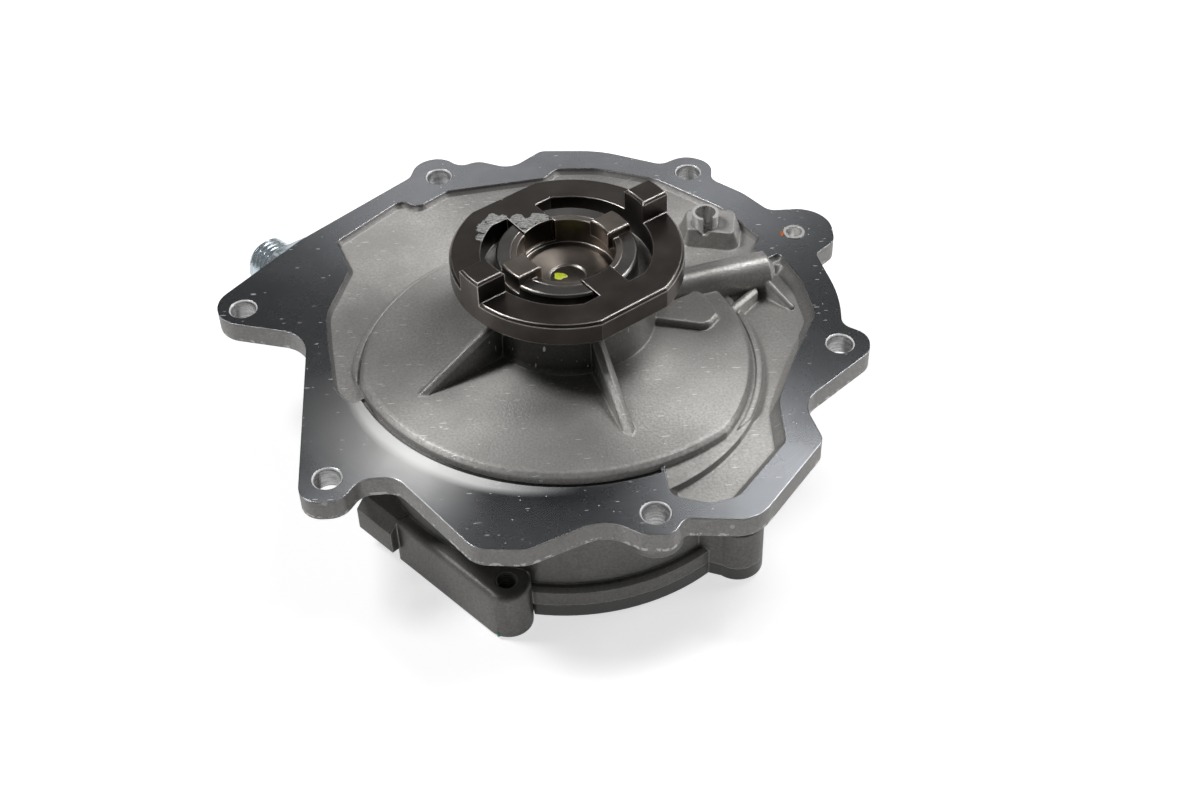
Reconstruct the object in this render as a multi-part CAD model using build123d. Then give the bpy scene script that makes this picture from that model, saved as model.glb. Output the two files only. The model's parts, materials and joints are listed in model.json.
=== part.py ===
from build123d import *
import math
import os

os.makedirs("parts", exist_ok=True)

# Brake vacuum pump, single sliding vane, driven from the end of a camshaft.
# Millimetres and degrees. The origin is the drive axis where it crosses the machined
# mounting face. +Z points along the drive axis into the engine, so the coupling is on top
# and the rear cover is the lowest piece. Angles are measured from +X towards +Y.

# Heights on the drive axis
cap_height = 2.0              # chamber cap above the mounting face
flange_thickness = 5.7
chamber_top = -4.0            # inner face of the chamber's end wall
joint_z = -31.5               # face where the rear cover closes the chamber
rear_z = -36.0                # outer face of the rear cover, what the pump stands on
coupling_top = 24.0           # upper face of the coupling disc
coupling_thickness = 6.2

# Mounting flange
bolt_hole_r = 3.3             # clearance for M6
bolt_hole_bevel = 0.35
bolt_holes = [(-36.1, 64.0), (33.6, 62.4), (67.4, -11.2), (18.9, -66.7), (-57.2, -52.5), (-84.3, 9.5)]
dowel_hole = (60.4, 34.0)     # holds a hollow locating dowel
dowel_bore_r = 2.1
dowel_wall = 0.8
face_recess_depth = 1.5       # cast floor below the machined face
recess_bevel = 0.9
pocket_depth = 3.3            # deeper cast pocket beside the cap
pocket_bevel = 2.4
groove_angles = (205.5, 291.5)   # where the groove starts and ends, seen from the drive axis
spigot_r = 56.2               # turned edge that centres the pump, on the drive axis
groove_width = 1.3
groove_depth = 2.4
groove_bevel = 0.4            # bright turned bevel along the groove's outer edge
groove_overcut = 1.2          # where the cap does not fill it, the groove cuts into the recess

# Chamber, rotor and vane
eccentricity = 15.5           # chamber centre to drive axis
eccentric_angle = -94.0       # direction of the chamber centre seen from the drive axis
vane_length = 84.0            # over both rounded tips
vane_thickness = 8.0
vane_core_r = 1.8             # pin that runs in the middle of the vane
tip_length = 9.0
tip_tongue = 3.0              # thickness of the tongue that carries a tip
tip_tongue_length = 5.0
chamber_arcs = 24             # arcs that make up the chamber wall
running_gap = 0.05            # radial clearance of a shaft in its bore
tip_gap = 0.10                # tip to chamber wall, and rotor to chamber wall
end_gap = 0.10                # rotor and vane to each end wall
slot_gap = 0.05               # each side of the vane in its slot
barrel_r = 49.0
joint_flange_r = 51.3
joint_flange_height = 5.1
cap_r = 48.5
cap_shift = 2.4               # cap's centre beside the chamber's, away from the right-hand ear
cap_bevel = 1.0
cap_trench_width = 1.0        # cast trench round the cap's edge
cap_trench_floor = -1.4
cap_ledge_r = 50.8            # low ledge outside the trench
cap_ledge_top = -0.5
cap_foot = 1.4                # how far the ledge slopes out down to the pocket's floor

# Neck and journal
journal_r = 17.5
neck_r = 21.4
neck_draft = 0.6              # how much wider the neck is at its foot
neck_gap = 0.5                # neck to the underside of the coupling disc
tube_bore_r = 13.8
tube_floor_z = 13.9
tube_drop = 0.4               # tube end below the disc's face

# Coupling disc
disc_r = 29.0
disc_half_flats = 27.3
disc_opening_r = 21.2
disc_half_chords = 19.2       # where straight webs close the opening beside the tongues
tongue_width = 8.7
tongue_end_r = 12.4
lug_angle = 36.0
lug_width = 7.6
lug_height = 5.9
disc_bevel = 0.7
coupling_gap = 0.10           # each side of a tongue in its slot
coupling_float = 0.5          # sideways travel of the disc each way

# Drive insert
insert_wall = 1.6
insert_step_r = 10.4
insert_step_z = 16.6
insert_dish = 1.3             # depth of the shallow dish inside the step
insert_floor_z = 15.0
insert_disc_r = 4.6           # small flat disc in the middle of the floor
tab_width = 7.3
tab_inner_r = 10.6
tab_outer_r = 17.2
tab_rise = 1.8                # tab above the coupling disc's face
tab_depth = 2.6               # tab below the tube's end

# Cover screws
screw_circle_r = 53.8         # about the chamber centre
screw_angles = [-41.0, 24.0, 88.0, 160.0]
screw_r = 2.5
screw_head_r = 4.6
screw_head_sink = 0.15        # head below the cover's outer face
screw_length = 14.0
screw_socket = 3.0            # hexagon across flats
thread_gap = 0.05             # radial gap that stands for a thread
ear_r = 6.3
ear_top = -19.5

# Seal between cover and housing, in a groove of the housing
seal_r = 47.9
seal_width = 2.2
seal_height = 2.0
seal_gap = 0.1

# Front boss and the straight block behind it
boss_at = (-16.4, -66.5)
boss_r = 5.8
block_angle = 134.0           # direction of the block's long face
block_length = 33.8
ledge_length = 12.2
ledge_step = 2.3              # how far the ledge stands out
ledge_bevel = (2.9, 3.0)      # inwards and down
ledge_root = 12.0             # how far the block and its ledge reach into the casting
block_top = -22.0
block_rounding = 1.5
block_inset = 1.5             # how far the cover is cut back beside the block
block_gap = 0.3               # cover to block
boss_thread_r = 2.5           # core hole of an M6 thread
boss_screw_r = 2.75
boss_screw_depth = 6.0
boss_screw_head_r = 4.6
boss_screw_head_height = 1.0
boss_screw_socket = 3.0       # hexagon across flats

# Vacuum port
port_angle = 136.4            # the port's axis is square to the flange's long straight edge
port_offset = -23.2           # axis beside the drive axis
port_z = -15.8
port_boss_r = 9.2
port_face = 80.0              # outer face of the cast boss, from the drive axis
port_collar = 3.9
port_collar_flats = 21.0
port_collar_turn = -20.0      # how the hexagon came to rest when tightened
port_thread_r = 7.0
port_thread_length = 11.3
port_neck_length = 1.6        # undercut between collar and thread
port_shank_r = 6.8
port_shank_length = 11.0
port_bore_r = 4.5
port_passage_r = 4.0
port_cup_r = 5.8              # holds the valve seat plate
port_cup_depth = 4.4
port_relief_r = 5.0           # room for the valve's stem behind the plate
port_relief_depth = 3.0
washer_thickness = 1.0
valve_plate_thickness = 2.0
valve_stem_r = 1.0
valve_hole_r = 0.9
valve_hole_circle_r = 3.0
valve_disc_r = 4.6

# Outlet reed on the cap, behind the neck
outlet_at = (22.1, 18.6)
reed_angle = 140.0            # from the outlet towards its screw
reed_pitch = 15.0             # outlet to screw
reed_width = 7.6
reed_thickness = 0.3
outlet_hole_r = 2.2
reed_pad_height = 1.0
reed_pad_edge = 1.4           # how far the seat stands out round the reed
stop_thickness = 1.2
stop_lift = 1.8
reed_screw_r = 2.0
reed_screw_head_r = 3.6
reed_screw_head_height = 2.2
reed_screw_length = 7.5

# Cast details
under_rib_thickness = 3.0
rib_thickness = 3.0
rib_top = 15.0
rib_angles = [216.6, -72.0]
rib_reach = 47.0
gallery_angle = 15.5          # raised oil gallery from the neck to the face
gallery_r = 5.0
gallery_axis_z = 1.3
gallery_start = (17.0, 7.6)
gallery_length = 32.5
gallery_dome = (2.2, 3.4)     # bevel of its rounded end
gallery_rib = [(47.2, 15.9), (57.8, 6.3)]   # from the gallery's end down to the right edge
gallery_rib_top = (5.0, -2.6)
strip_rib = [(48.2, 11.2), (37.6, -2.4)]    # from the gallery to the cap
strip_rib_top = (0.2, 2.1)
pad_top = 3.8
sleeve_at = (36.6, 35.2)
sleeve_r = 3.6
sleeve_wall = 0.9
sleeve_height = 7.8
sleeve_seat = 4.0
sleeve_slot = 2.6
sleeve_slot_angle = -80.0
sleeve_block_top = 3.0
sleeve_block_draft = 20.0     # slope of the block's sides

# Worked out from the sizes above
coupling_bottom = coupling_top - coupling_thickness
neck_top = coupling_bottom - neck_gap
tube_top = coupling_top - tube_drop
eccentric = (
    eccentricity * math.cos(math.radians(eccentric_angle)),
    eccentricity * math.sin(math.radians(eccentric_angle)),
)
tip_r = vane_thickness / 2
tip_centre_half = vane_length / 2 - tip_r
wall_offset = tip_r + tip_gap
rotor_r = tip_centre_half - eccentricity + wall_offset - tip_gap
block_bottom = rear_z
cap_centre = (eccentric[0] - cap_shift, eccentric[1])
reed_screw_top = cap_height + reed_pad_height + reed_thickness + stop_thickness
screw_points = [
    (
        eccentric[0] + screw_circle_r * math.cos(math.radians(angle)),
        eccentric[1] + screw_circle_r * math.sin(math.radians(angle)),
    )
    for angle in screw_angles
]

# Corners of the flange outline, each with its rounding radius, clockwise from the left ear
flange_corners = [
    (-97.0, 6.4, 7.8), (-72.2, 37.4, 30), (-44.2, 63.9, 4), (-42.6, 70.8, 6.5),
    (-35.3, 73.2, 6.0), (-30.5, 68.2, 4), (-25.5, 70.8, 5), (-16.0, 66.8, 6),
    (-7.6, 74.6, 3), (9.0, 73.8, 30), (26.3, 66.4, 4), (33.0, 70.3, 6.5),
    (40.8, 66.3, 6.0), (39.6, 58.9, 4), (48.0, 52.0, 12), (54.6, 43.8, 4),
    (70.7, 44.5, 9.2), (70.8, 29.8, 5), (65.2, 24.4, 2), (69.6, 7.0, 45),
    (68.7, -4.0, 4), (75.3, -8.2, 5.5), (74.4, -14.6, 5), (56.0, -31.8, 8),
    (59.6, -45.0, 4), (42.0, -69.9, 9), (25.3, -68.7, 2.5), (22.6, -73.6, 3.5),
    (15.6, -73.1, 4.5), (7.5, -68.0, 9), (-10.5, -76.7, 8), (-22.4, -75.8, 7),
    (-41.2, -52.6, 6), (-49.6, -53.0, 5), (-53.4, -60.0, 5.5), (-63.4, -60.4, 5.5),
    (-66.8, -1.3, 9),
]

# Corners of the cast recess in the face, clockwise from the left. The front stretch is cut
# by the turned spigot, so its two points only lead inside that circle.
recess_corners = [
    (-62.6, 36.0, 2.5), (-46.2, 53.6, 3), (-41.2, 50.4, 3), (-33.5, 57.2, 3),
    (-6.5, 61.8, 3), (-3.4, 65.9, 3), (8.0, 65.5, 15), (24.5, 59.8, 8),
    (42.0, 45.6, 15), (51.2, 32.0, 1.5), (49.0, 28.4, 1.4), (51.6, 22.4, 1.4),
    (55.2, 25.6, 1.4), (56.3, 24.0, 1.4), (60.2, 14.0, 20), (62.3, 1.0, 8), (55.6, -15.2, 12), (50.0, -31.0, 12), (50.4, -45.0, 4), (38.0, -62.2, 5),
    (31.5, -64.2, 6), (22.4, -61.0, 4), (21.6, -48.0, 2), (-46.0, -20.0, 2),
    (-53.2, -28.2, 2), (-58.2, -22.0, 8), (-61.0, -5.0, 20), (-62.6, 6.5, 12), (-58.0, 24.5, 4),
]

# Corners of the deeper pocket between the cap and the right edge
pocket_corners = [
    (50.0, 19.0, 3), (54.8, 26.2, 3), (60.4, 14.0, 20), (62.5, 1.0, 8), (55.8, -15.2, 12),
    (50.2, -31.0, 12), (50.6, -45.1, 4), (38.1, -62.4, 5), (31.5, -64.4, 6), (22.2, -61.2, 4),
    (21.4, -48.0, 3), (38.0, -22.0, 10), (38.0, -6.0, 6), (36.0, 6.0, 3),
]

# Corners of the flat cast pad beside the neck
pad_corners = [(18.0, -3.1, 1), (34.4, -7.0, 3), (38.0, -2.2, 2.5), (33.2, 7.6, 2), (26.0, 3.2, 1)]

# Corners of the top of the cast block that holds the spring sleeve
sleeve_block_corners = [(31.5, 32.9, 1), (43.8, 30.2, 1.5), (45.0, 40.5, 2), (31.7, 41.5, 2)]


def direction(angle):
    """Unit vector in the XY plane."""
    return Vector(math.cos(math.radians(angle)), math.sin(math.radians(angle)), 0)


def rounded(corners):
    """Face inside a polygon whose corners carry their own radii."""
    points = [(x, y) for x, y, _ in corners]
    radii = [radius for _, _, radius in corners]
    return make_face(FilletPolyline(*points, radius=radii, close=True))


def plate(face, low, high):
    """Prism on an XY face between two heights."""
    return Pos(0, 0, low) * extrude(face, high - low)


def rod(radius, low, high, at=(0, 0)):
    """Upright cylinder between two heights."""
    return plate(Pos(at[0], at[1]) * Circle(radius), low, high)


def pipe(outer, inner, low, high, at=(0, 0)):
    """Upright tube between two heights."""
    return rod(outer, low, high, at) - rod(inner, low - 1, high + 1, at)


def edges_at(solid, height):
    """Edges that lie flat at one height."""
    return [edge for edge in solid.edges() if abs(edge.center().Z - height) < 0.01 and is_flat(edge)]


def is_flat(edge):
    box = edge.bounding_box()
    return box.max.Z - box.min.Z < 0.01


def port_plane(distance):
    """Plane across the port's axis, its normal pointing out of the pump."""
    out = direction(port_angle)
    side = direction(port_angle - 90)
    return Plane(out * distance + side * port_offset + Vector(0, 0, port_z), x_dir=side, z_dir=out)


def port_rod(radius, start, end):
    return extrude(port_plane(start) * Circle(radius), end - start)


def wall_point(angle):
    """Point of the chamber wall, seen from the drive axis, at an angle from the eccentric line.

    The vane always passes through the drive axis, so both tip centres follow
    r = half length + eccentricity * cos(angle), and the wall is that curve moved out by the
    tip radius and the gap.
    """
    reach = tip_centre_half + eccentricity * math.cos(angle)
    slope = -eccentricity * math.sin(angle)
    size = math.hypot(reach, slope)
    along = reach + wall_offset * reach / size
    across = -wall_offset * slope / size
    x = along * math.cos(angle) - across * math.sin(angle)
    y = along * math.sin(angle) + across * math.cos(angle)
    return (x, y)


def chamber_face():
    """Plan of the chamber, drawn as short arcs through points of its wall."""
    step = math.pi / chamber_arcs
    wall = Curve()
    for index in range(chamber_arcs):
        first = 2 * index * step
        wall += ThreePointArc(wall_point(first), wall_point(first + step), wall_point(first + 2 * step))
    return Rot(0, 0, eccentric_angle) * make_face(wall)


def web(start, end, thickness, heights, base):
    """Upright wall from start to end whose top falls from the first height to the second."""
    begin = Vector(start[0], start[1], 0)
    along = Vector(end[0], end[1], 0) - begin
    plane = Plane(begin, x_dir=along, z_dir=along.cross(Vector(0, 0, 1)))
    length = along.length
    side = Polyline((0, base), (length, base), (length, heights[1]), (0, heights[0]), close=True)
    return extrude(plane * make_face(side), thickness / 2, both=True, taper=30)


def block_corner(along, out):
    """Point on the straight block, measured from the front boss."""
    place = direction(block_angle) * along + direction(block_angle + 90) * out
    return (boss_at[0] + place.X, boss_at[1] + place.Y)


def block_face(grow=0.0):
    """Plan of the thick part of the block with its round boss."""
    corners = [
        block_corner(0, boss_r + grow), block_corner(block_length + grow, boss_r + grow),
        block_corner(block_length + grow, -ledge_root), block_corner(0, -ledge_root),
    ]
    return make_face(Polyline(*corners, close=True)) + Pos(*boss_at) * Circle(boss_r + grow)


def ledge():
    """Lower ledge that carries the block on to the left, its outer edge broadly bevelled."""
    low = joint_z
    out = boss_r + ledge_step
    bevel_out, bevel_down = ledge_bevel
    profile = Polyline(
        (-ledge_root, low), (out, low), (out, block_top - bevel_down), (out - bevel_out, block_top),
        (-ledge_root, block_top), close=True,
    )
    along = direction(block_angle)
    start = Vector(*block_corner(block_length - 0.5, 0), 0)
    plane = Plane(start, x_dir=direction(block_angle + 90), z_dir=along)
    return extrude(plane * make_face(profile), ledge_length + 0.5, dir=along)


def ear_face(point, radius):
    """Rounded ear that reaches from a screw back into the joint flange."""
    inward = Vector(eccentric[0] - point[0], eccentric[1] - point[1], 0).normalized()
    root = Vector(point[0], point[1], 0) + inward * 9
    side = Vector(-inward.Y, inward.X, 0)
    flare = radius * 1.55
    tips = [
        Vector(point[0], point[1], 0) + side * radius,
        Vector(point[0], point[1], 0) - side * radius,
        root - side * flare,
        root + side * flare,
    ]
    return Pos(*point) * Circle(radius) + make_face(Polyline(*tips, close=True))


def flange_plate():
    """Flange with its machined face, cast recess, pocket, groove and bolt holes."""
    body = plate(rounded(flange_corners), -flange_thickness, 0)
    body -= floor_cut(rounded(recess_corners), face_recess_depth, recess_bevel)
    body -= floor_cut(Circle(spigot_r), face_recess_depth, recess_bevel)
    body -= floor_cut(rounded(pocket_corners), pocket_depth, pocket_bevel)
    outer = spigot_r + groove_width
    groove = pipe(outer, spigot_r - groove_overcut, -groove_depth, 1)
    groove += Pos(0, 0, -groove_bevel) * Cone(
        outer, outer + 2 * groove_bevel, 2 * groove_bevel, align=(Align.CENTER, Align.CENTER, Align.MIN)
    ) - rod(spigot_r, -groove_depth, 2 * groove_bevel + 1)
    ends = [direction(angle) * 3 * spigot_r for angle in groove_angles]
    middle = direction(sum(groove_angles) / 2) * 3 * spigot_r
    front = make_face(Polyline((0, 0), (ends[0].X, ends[0].Y), (middle.X, middle.Y),
                               (ends[1].X, ends[1].Y), close=True))
    return body - (groove & plate(front, -groove_depth, 1))


def floor_cut(face, depth, bevel):
    """Cut down from the machined face, the edge of its floor bevelled."""
    cut = plate(face, -depth, 1)
    return chamfer(edges_at(cut, -depth), bevel)


def bolt_hole_cuts():
    cuts = []
    for point in bolt_holes:
        cuts.append(rod(bolt_hole_r, -flange_thickness - 12, 1, point))
        mouth = Pos(point[0], point[1], -bolt_hole_bevel)
        top = bolt_hole_r + bolt_hole_bevel
        cuts.append(mouth * Cone(bolt_hole_r, top, bolt_hole_bevel, align=(Align.CENTER, Align.CENTER, Align.MIN)))
    cuts.append(rod(dowel_bore_r + dowel_wall, -flange_thickness - 1, 1, dowel_hole))
    return cuts


def cap():
    """Round cap over the chamber's end wall, with a trench and a low ledge round it.

    At the front both are cut to the turned circle that centres the pump.
    """
    disc = rod(cap_r, chamber_top, cap_height, cap_centre)
    disc = chamfer(edges_at(disc, cap_height), cap_bevel)
    foot = Pos(*cap_centre, -pocket_depth) * Cone(
        cap_ledge_r + cap_foot, cap_ledge_r, pocket_depth + cap_ledge_top,
        align=(Align.CENTER, Align.CENTER, Align.MIN),
    )
    foot -= rod(cap_r + cap_trench_width, cap_trench_floor, cap_height, cap_centre)
    limit = rod(spigot_r, chamber_top, cap_height)
    return (disc + foot) & chamfer(edges_at(limit, cap_height), cap_bevel)


def neck():
    """Bearing neck, its ribs, the oil gallery and the small cast forms round it."""
    body = Pos(0, 0, -1) * Cone(
        neck_r + neck_draft, neck_r, neck_top + 1, align=(Align.CENTER, Align.CENTER, Align.MIN)
    )
    base = cap_height - 1.5
    for angle in rib_angles:
        start = direction(angle) * (neck_r - 2.5)
        end = direction(angle) * rib_reach
        rib = web((start.X, start.Y), (end.X, end.Y), rib_thickness, (rib_top, cap_height - 0.3), base)
        body += rib
    body += gallery()
    body += web(*gallery_rib, 1.8, gallery_rib_top, -pocket_depth - 1.5)
    body += web(*strip_rib, 2.2, strip_rib_top, -pocket_depth - 1.5)
    pad = plate(rounded(pad_corners), cap_height - 0.5, pad_top)
    body += chamfer(edges_at(pad, pad_top), 0.6)
    depth = sleeve_block_top + face_recess_depth + 0.5
    block = Pos(0, 0, sleeve_block_top) * rounded(sleeve_block_corners)
    return body + extrude(block, depth, dir=(0, 0, -1), taper=-sleeve_block_draft)


def gallery():
    """Round oil gallery that lies half in the floor and ends in a dome."""
    start = Vector(gallery_start[0], gallery_start[1], gallery_axis_z)
    length = gallery_length + gallery_r
    body = extrude(Plane(start, z_dir=direction(gallery_angle)) * Circle(gallery_r), length)
    end = start + direction(gallery_angle) * length
    rim = body.edges().filter_by(GeomType.CIRCLE).sort_by_distance(end)[0:1]
    return chamfer(rim, *gallery_dome)


def reed_point(along):
    """Point on the reed's centre line, measured from the outlet hole."""
    place = direction(reed_angle) * along
    return (outlet_at[0] + place.X, outlet_at[1] + place.Y)


def reed_face(edge=0.0):
    """Plan of the reed: round at the outlet and round at its screw."""
    middle = reed_point(reed_pitch / 2)
    return Pos(*middle) * Rot(0, 0, reed_angle) * SlotCenterToCenter(reed_pitch, reed_width + 2 * edge)


def reed_seat():
    """Raised seat for the outlet reed, cast on the cap behind the neck."""
    return plate(reed_face(reed_pad_edge), -flange_thickness + 1, cap_height + reed_pad_height)


def lower_body():
    """Barrel round the chamber, joint flange, ears, front boss and block, port boss."""
    port_end = port_plane(port_face).origin
    body = rod(barrel_r, joint_z, -1.0, eccentric)
    rim = rod(joint_flange_r, joint_z, joint_z + joint_flange_height, eccentric)
    body += chamfer(edges_at(rim, joint_z + joint_flange_height), 1.0)
    for point in screw_points:
        ear = plate(ear_face(point, ear_r), joint_z, ear_top)
        body += chamfer(edges_at(ear, ear_top), 0.9)
    block = plate(block_face(), block_bottom, block_top)
    body += fillet(edges_at(block, block_top), block_rounding)
    body += ledge()
    body += rod(bolt_hole_r + 3.1, -flange_thickness - 2.6, -flange_thickness + 1, bolt_holes[3])
    port = port_rod(port_boss_r, 30, port_face)
    return body + chamfer(port.edges().filter_by(GeomType.CIRCLE).sort_by_distance(port_end)[0:1], 0.8)


def under_ribs():
    """Ribs under the flange, from the barrel out to the bolt ears."""
    body = Part()
    for point in (bolt_holes[0], bolt_holes[1], dowel_hole, bolt_holes[5]):
        outward = Vector(point[0] - eccentric[0], point[1] - eccentric[1], 0)
        aim = outward.normalized()
        start = Vector(*eccentric, 0) + aim * (barrel_r - 2)
        end = Vector(*eccentric, 0) + aim * (outward.length - bolt_hole_r - 3)
        plane = Plane(start, x_dir=aim, z_dir=aim.cross(Vector(0, 0, 1)))
        length = (end - start).length
        top = -flange_thickness + 1
        side = Polyline((0, top), (length, top), (length, top - 2.5), (0, top - 14), close=True)
        body += extrude(plane * make_face(side), under_rib_thickness / 2, both=True)
    return body


def pump_housing():
    """The one large casting, before its bores and screw holes."""
    body = flange_plate() + lower_body() + under_ribs()
    body += cap()
    body += neck()
    body += reed_seat()
    body -= plate(chamber_face(), joint_z - 1, chamber_top)
    foot = rod(joint_flange_r - block_inset, block_bottom - 1, joint_z, eccentric)
    return body - foot


def housing_cuts(body):
    """Bores, screw holes and passages of the casting."""
    body -= rod(journal_r + running_gap, chamber_top - 1, neck_top + 1)
    for cut in bolt_hole_cuts():
        body -= cut
    for point in screw_points:
        body -= rod(screw_r, joint_z - 1, rear_z + screw_length + 1.0, point)
    body -= rod(boss_thread_r, block_bottom - 1, block_top + 1, boss_at)
    body -= rod(boss_screw_r, block_bottom - 1, block_bottom + boss_screw_depth + 0.3, boss_at)
    body -= port_rod(port_passage_r, 30, port_face)
    body -= port_rod(port_shank_r, port_face - port_shank_length - 1, port_face + 1)
    body -= rod(outlet_hole_r, chamber_top - 1, cap_height + 5, outlet_at)
    body -= rod(reed_screw_r, reed_screw_top - reed_screw_length - 0.3, 10, reed_point(reed_pitch))
    body -= rod(sleeve_r, sleeve_block_top - sleeve_seat, 12, sleeve_at)
    half = seal_width / 2 + seal_gap
    low = joint_z - 1
    high = joint_z + seal_height + seal_gap
    return body - pipe(seal_r + half, seal_r - half, low, high, eccentric)


def rear_cover():
    """Flat cover that closes the chamber, with its own ears."""
    outline = Pos(*eccentric) * Circle(joint_flange_r)
    for point in screw_points:
        outline += ear_face(point, ear_r)
    body = plate(outline, rear_z, joint_z)
    body = chamfer(edges_at(body, rear_z), 0.6)
    beside = block_face(block_gap) - Pos(*eccentric) * Circle(joint_flange_r - block_inset - block_gap)
    body -= plate(beside, rear_z - 1, joint_z + 1)
    for point in screw_points:
        body -= rod(screw_r + 0.3, rear_z - 1, joint_z + 1, point)
        body -= countersink(point, 0.2)
    return body


def countersink(point, gap):
    """Cone of a screw head, or of its seat when a gap is given."""
    low = rear_z + screw_head_sink
    height = screw_head_r - screw_r
    cone = Pos(*point, low) * Cone(
        screw_head_r + gap, screw_r + gap, height, align=(Align.CENTER, Align.CENTER, Align.MIN)
    )
    if gap:
        cone += rod(screw_head_r + gap, rear_z - 1, low, point)
    return cone


def cover_screws():
    """Countersunk screws that hold the rear cover."""
    screws = []
    for point in screw_points:
        low = rear_z + screw_head_sink
        screw = countersink(point, 0) + rod(screw_r - thread_gap, low, rear_z + screw_length, point)
        socket = Pos(*point) * RegularPolygon(screw_socket / 2, 6, major_radius=False)
        screws.append(screw - plate(socket, low - 1, low + 1.8))
    return Compound(screws)


def cover_seal():
    """Square-section ring with one bevelled edge."""
    half = seal_width / 2
    body = pipe(seal_r + half, seal_r - half, joint_z, joint_z + seal_height, eccentric)
    return chamfer(edges_at(body, joint_z + seal_height), 0.4)


def boss_screw():
    """Flat plug screw under the front boss."""
    low = block_bottom - boss_screw_head_height
    head = rod(boss_screw_head_r, low, block_bottom, boss_at)
    head = chamfer(edges_at(head, low), 0.3)
    shank = rod(boss_screw_r - thread_gap, block_bottom - 0.5, block_bottom + boss_screw_depth, boss_at)
    socket = Pos(*boss_at) * RegularPolygon(boss_screw_socket / 2, 6, major_radius=False)
    return head + shank - plate(socket, low - 1, low + 2.2)


def port_fitting():
    """Steel stub screwed into the port boss, with the check valve's seat inside."""
    collar_start = port_face + washer_thickness
    collar_end = collar_start + port_collar
    hexagon = RegularPolygon(port_collar_flats / 2, 6, major_radius=False, rotation=port_collar_turn)
    collar = extrude(port_plane(collar_start) * hexagon, port_collar)
    round_bar = port_rod(port_collar_flats / 2 + 1.6, collar_start, collar_end)
    collar = collar & chamfer(round_bar.edges().filter_by(GeomType.CIRCLE), 0.6)
    stub_end = collar_end + port_thread_length
    stub = port_rod(port_thread_r, collar_end + port_neck_length, stub_end)
    rim = stub.edges().filter_by(GeomType.CIRCLE).sort_by_distance(port_plane(stub_end).origin)[0:1]
    stub = chamfer(rim, 1.0) + port_rod(port_thread_r - 1, collar_end, stub_end - 2)
    shank_end = port_face - port_shank_length
    body = collar + stub + port_rod(port_shank_r - thread_gap, shank_end, collar_start)
    body -= port_rod(port_bore_r, shank_end - 1, collar_end + port_thread_length + 1)
    body -= port_rod(port_relief_r, shank_end, shank_end + port_cup_depth + port_relief_depth)
    return body - port_rod(port_cup_r, shank_end - 1, shank_end + port_cup_depth)


def port_washer():
    """Soft sealing ring between the fitting and the cast boss."""
    ring = port_rod(port_boss_r - 0.4, port_face, port_face + washer_thickness)
    return ring - port_rod(port_shank_r + 0.2, port_face - 1, port_face + washer_thickness + 1)


def valve_plate_start():
    return port_face - port_shank_length + port_cup_depth - valve_plate_thickness


def valve_seat_plate():
    """Perforated plate that the umbrella valve closes."""
    start = valve_plate_start()
    body = port_rod(port_cup_r - 0.05, start, start + valve_plate_thickness)
    body -= port_rod(valve_stem_r + 0.05, start - 1, start + valve_plate_thickness + 1)
    for index in range(6):
        angle = math.radians(60 * index)
        spot = Pos(valve_hole_circle_r * math.cos(angle), valve_hole_circle_r * math.sin(angle))
        body -= extrude(port_plane(start - 1) * spot * Circle(valve_hole_r), valve_plate_thickness + 2)
    return body


def umbrella_valve():
    """Rubber check valve: a thin dished disc on a stem with a retaining bulb."""
    start = valve_plate_start()
    disc = port_rod(valve_disc_r, start - 1.0, start)
    disc = chamfer(disc.edges().filter_by(GeomType.CIRCLE).sort_by_distance(port_plane(0).origin)[0:1], 0.7)
    end = start + valve_plate_thickness
    stem = port_rod(valve_stem_r, start - 0.5, end + 2.2)
    return disc + stem + port_rod(valve_stem_r + 0.5, end + 0.1, end + 1.3)


def outlet_reed():
    """Spring-steel reed that lies on the seat and covers the outlet."""
    low = cap_height + reed_pad_height
    body = plate(reed_face(), low, low + reed_thickness)
    return body - rod(reed_screw_r + 0.2, low - 1, low + 1, reed_point(reed_pitch))


def outlet_reed_stop():
    """Stiff plate over the reed, lifted at the outlet so that the reed can open."""
    low = cap_height + reed_pad_height + reed_thickness
    start = Vector(*reed_point(-reed_width), 0)
    plane = Plane(start, x_dir=direction(reed_angle), z_dir=direction(reed_angle - 90))
    lift = stop_lift
    far = reed_pitch + 2 * reed_width
    bend = reed_width + reed_pitch - reed_screw_head_r - 0.6
    lower = [(0, low + lift + 1.2), (bend - 9, low + lift * 0.75), (bend, low), (far, low)]
    upper = [(x, z + stop_thickness) for x, z in reversed(lower)]
    profile = make_face(Polyline(*lower, *upper, close=True))
    body = extrude(plane * profile, reed_width, both=True) & plate(reed_face(), low - 1, low + 12)
    return body - rod(reed_screw_r + 0.2, low - 1, low + 10, reed_point(reed_pitch))


def reed_screw():
    """Pan-head screw that clamps reed and stop."""
    at = reed_point(reed_pitch)
    top = reed_screw_top + reed_screw_head_height
    head = rod(reed_screw_head_r, reed_screw_top, top, at)
    head = chamfer(edges_at(head, top), 0.6)
    shank = rod(reed_screw_r - thread_gap, reed_screw_top - reed_screw_length, reed_screw_top + 0.5, at)
    socket = Pos(*at) * RegularPolygon(1.25, 6, major_radius=False)
    return head + shank - plate(socket, top - 1.3, top + 1)


def spring_sleeve():
    """Rolled spring sleeve with one slot along its whole length."""
    low = sleeve_block_top - sleeve_seat
    top = low + sleeve_height
    body = pipe(sleeve_r - 0.02, sleeve_r - sleeve_wall, low, top, sleeve_at)
    slot = Pos(*sleeve_at) * Rot(0, 0, sleeve_slot_angle) * Pos(sleeve_r, 0)
    return body - plate(slot * Rectangle(2 * sleeve_r, sleeve_slot), low - 1, top + 1)


def locating_bush():
    """Hollow dowel in the right-hand ear."""
    return pipe(dowel_bore_r + dowel_wall - 0.02, dowel_bore_r, -flange_thickness, 0.2, dowel_hole)


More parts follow.
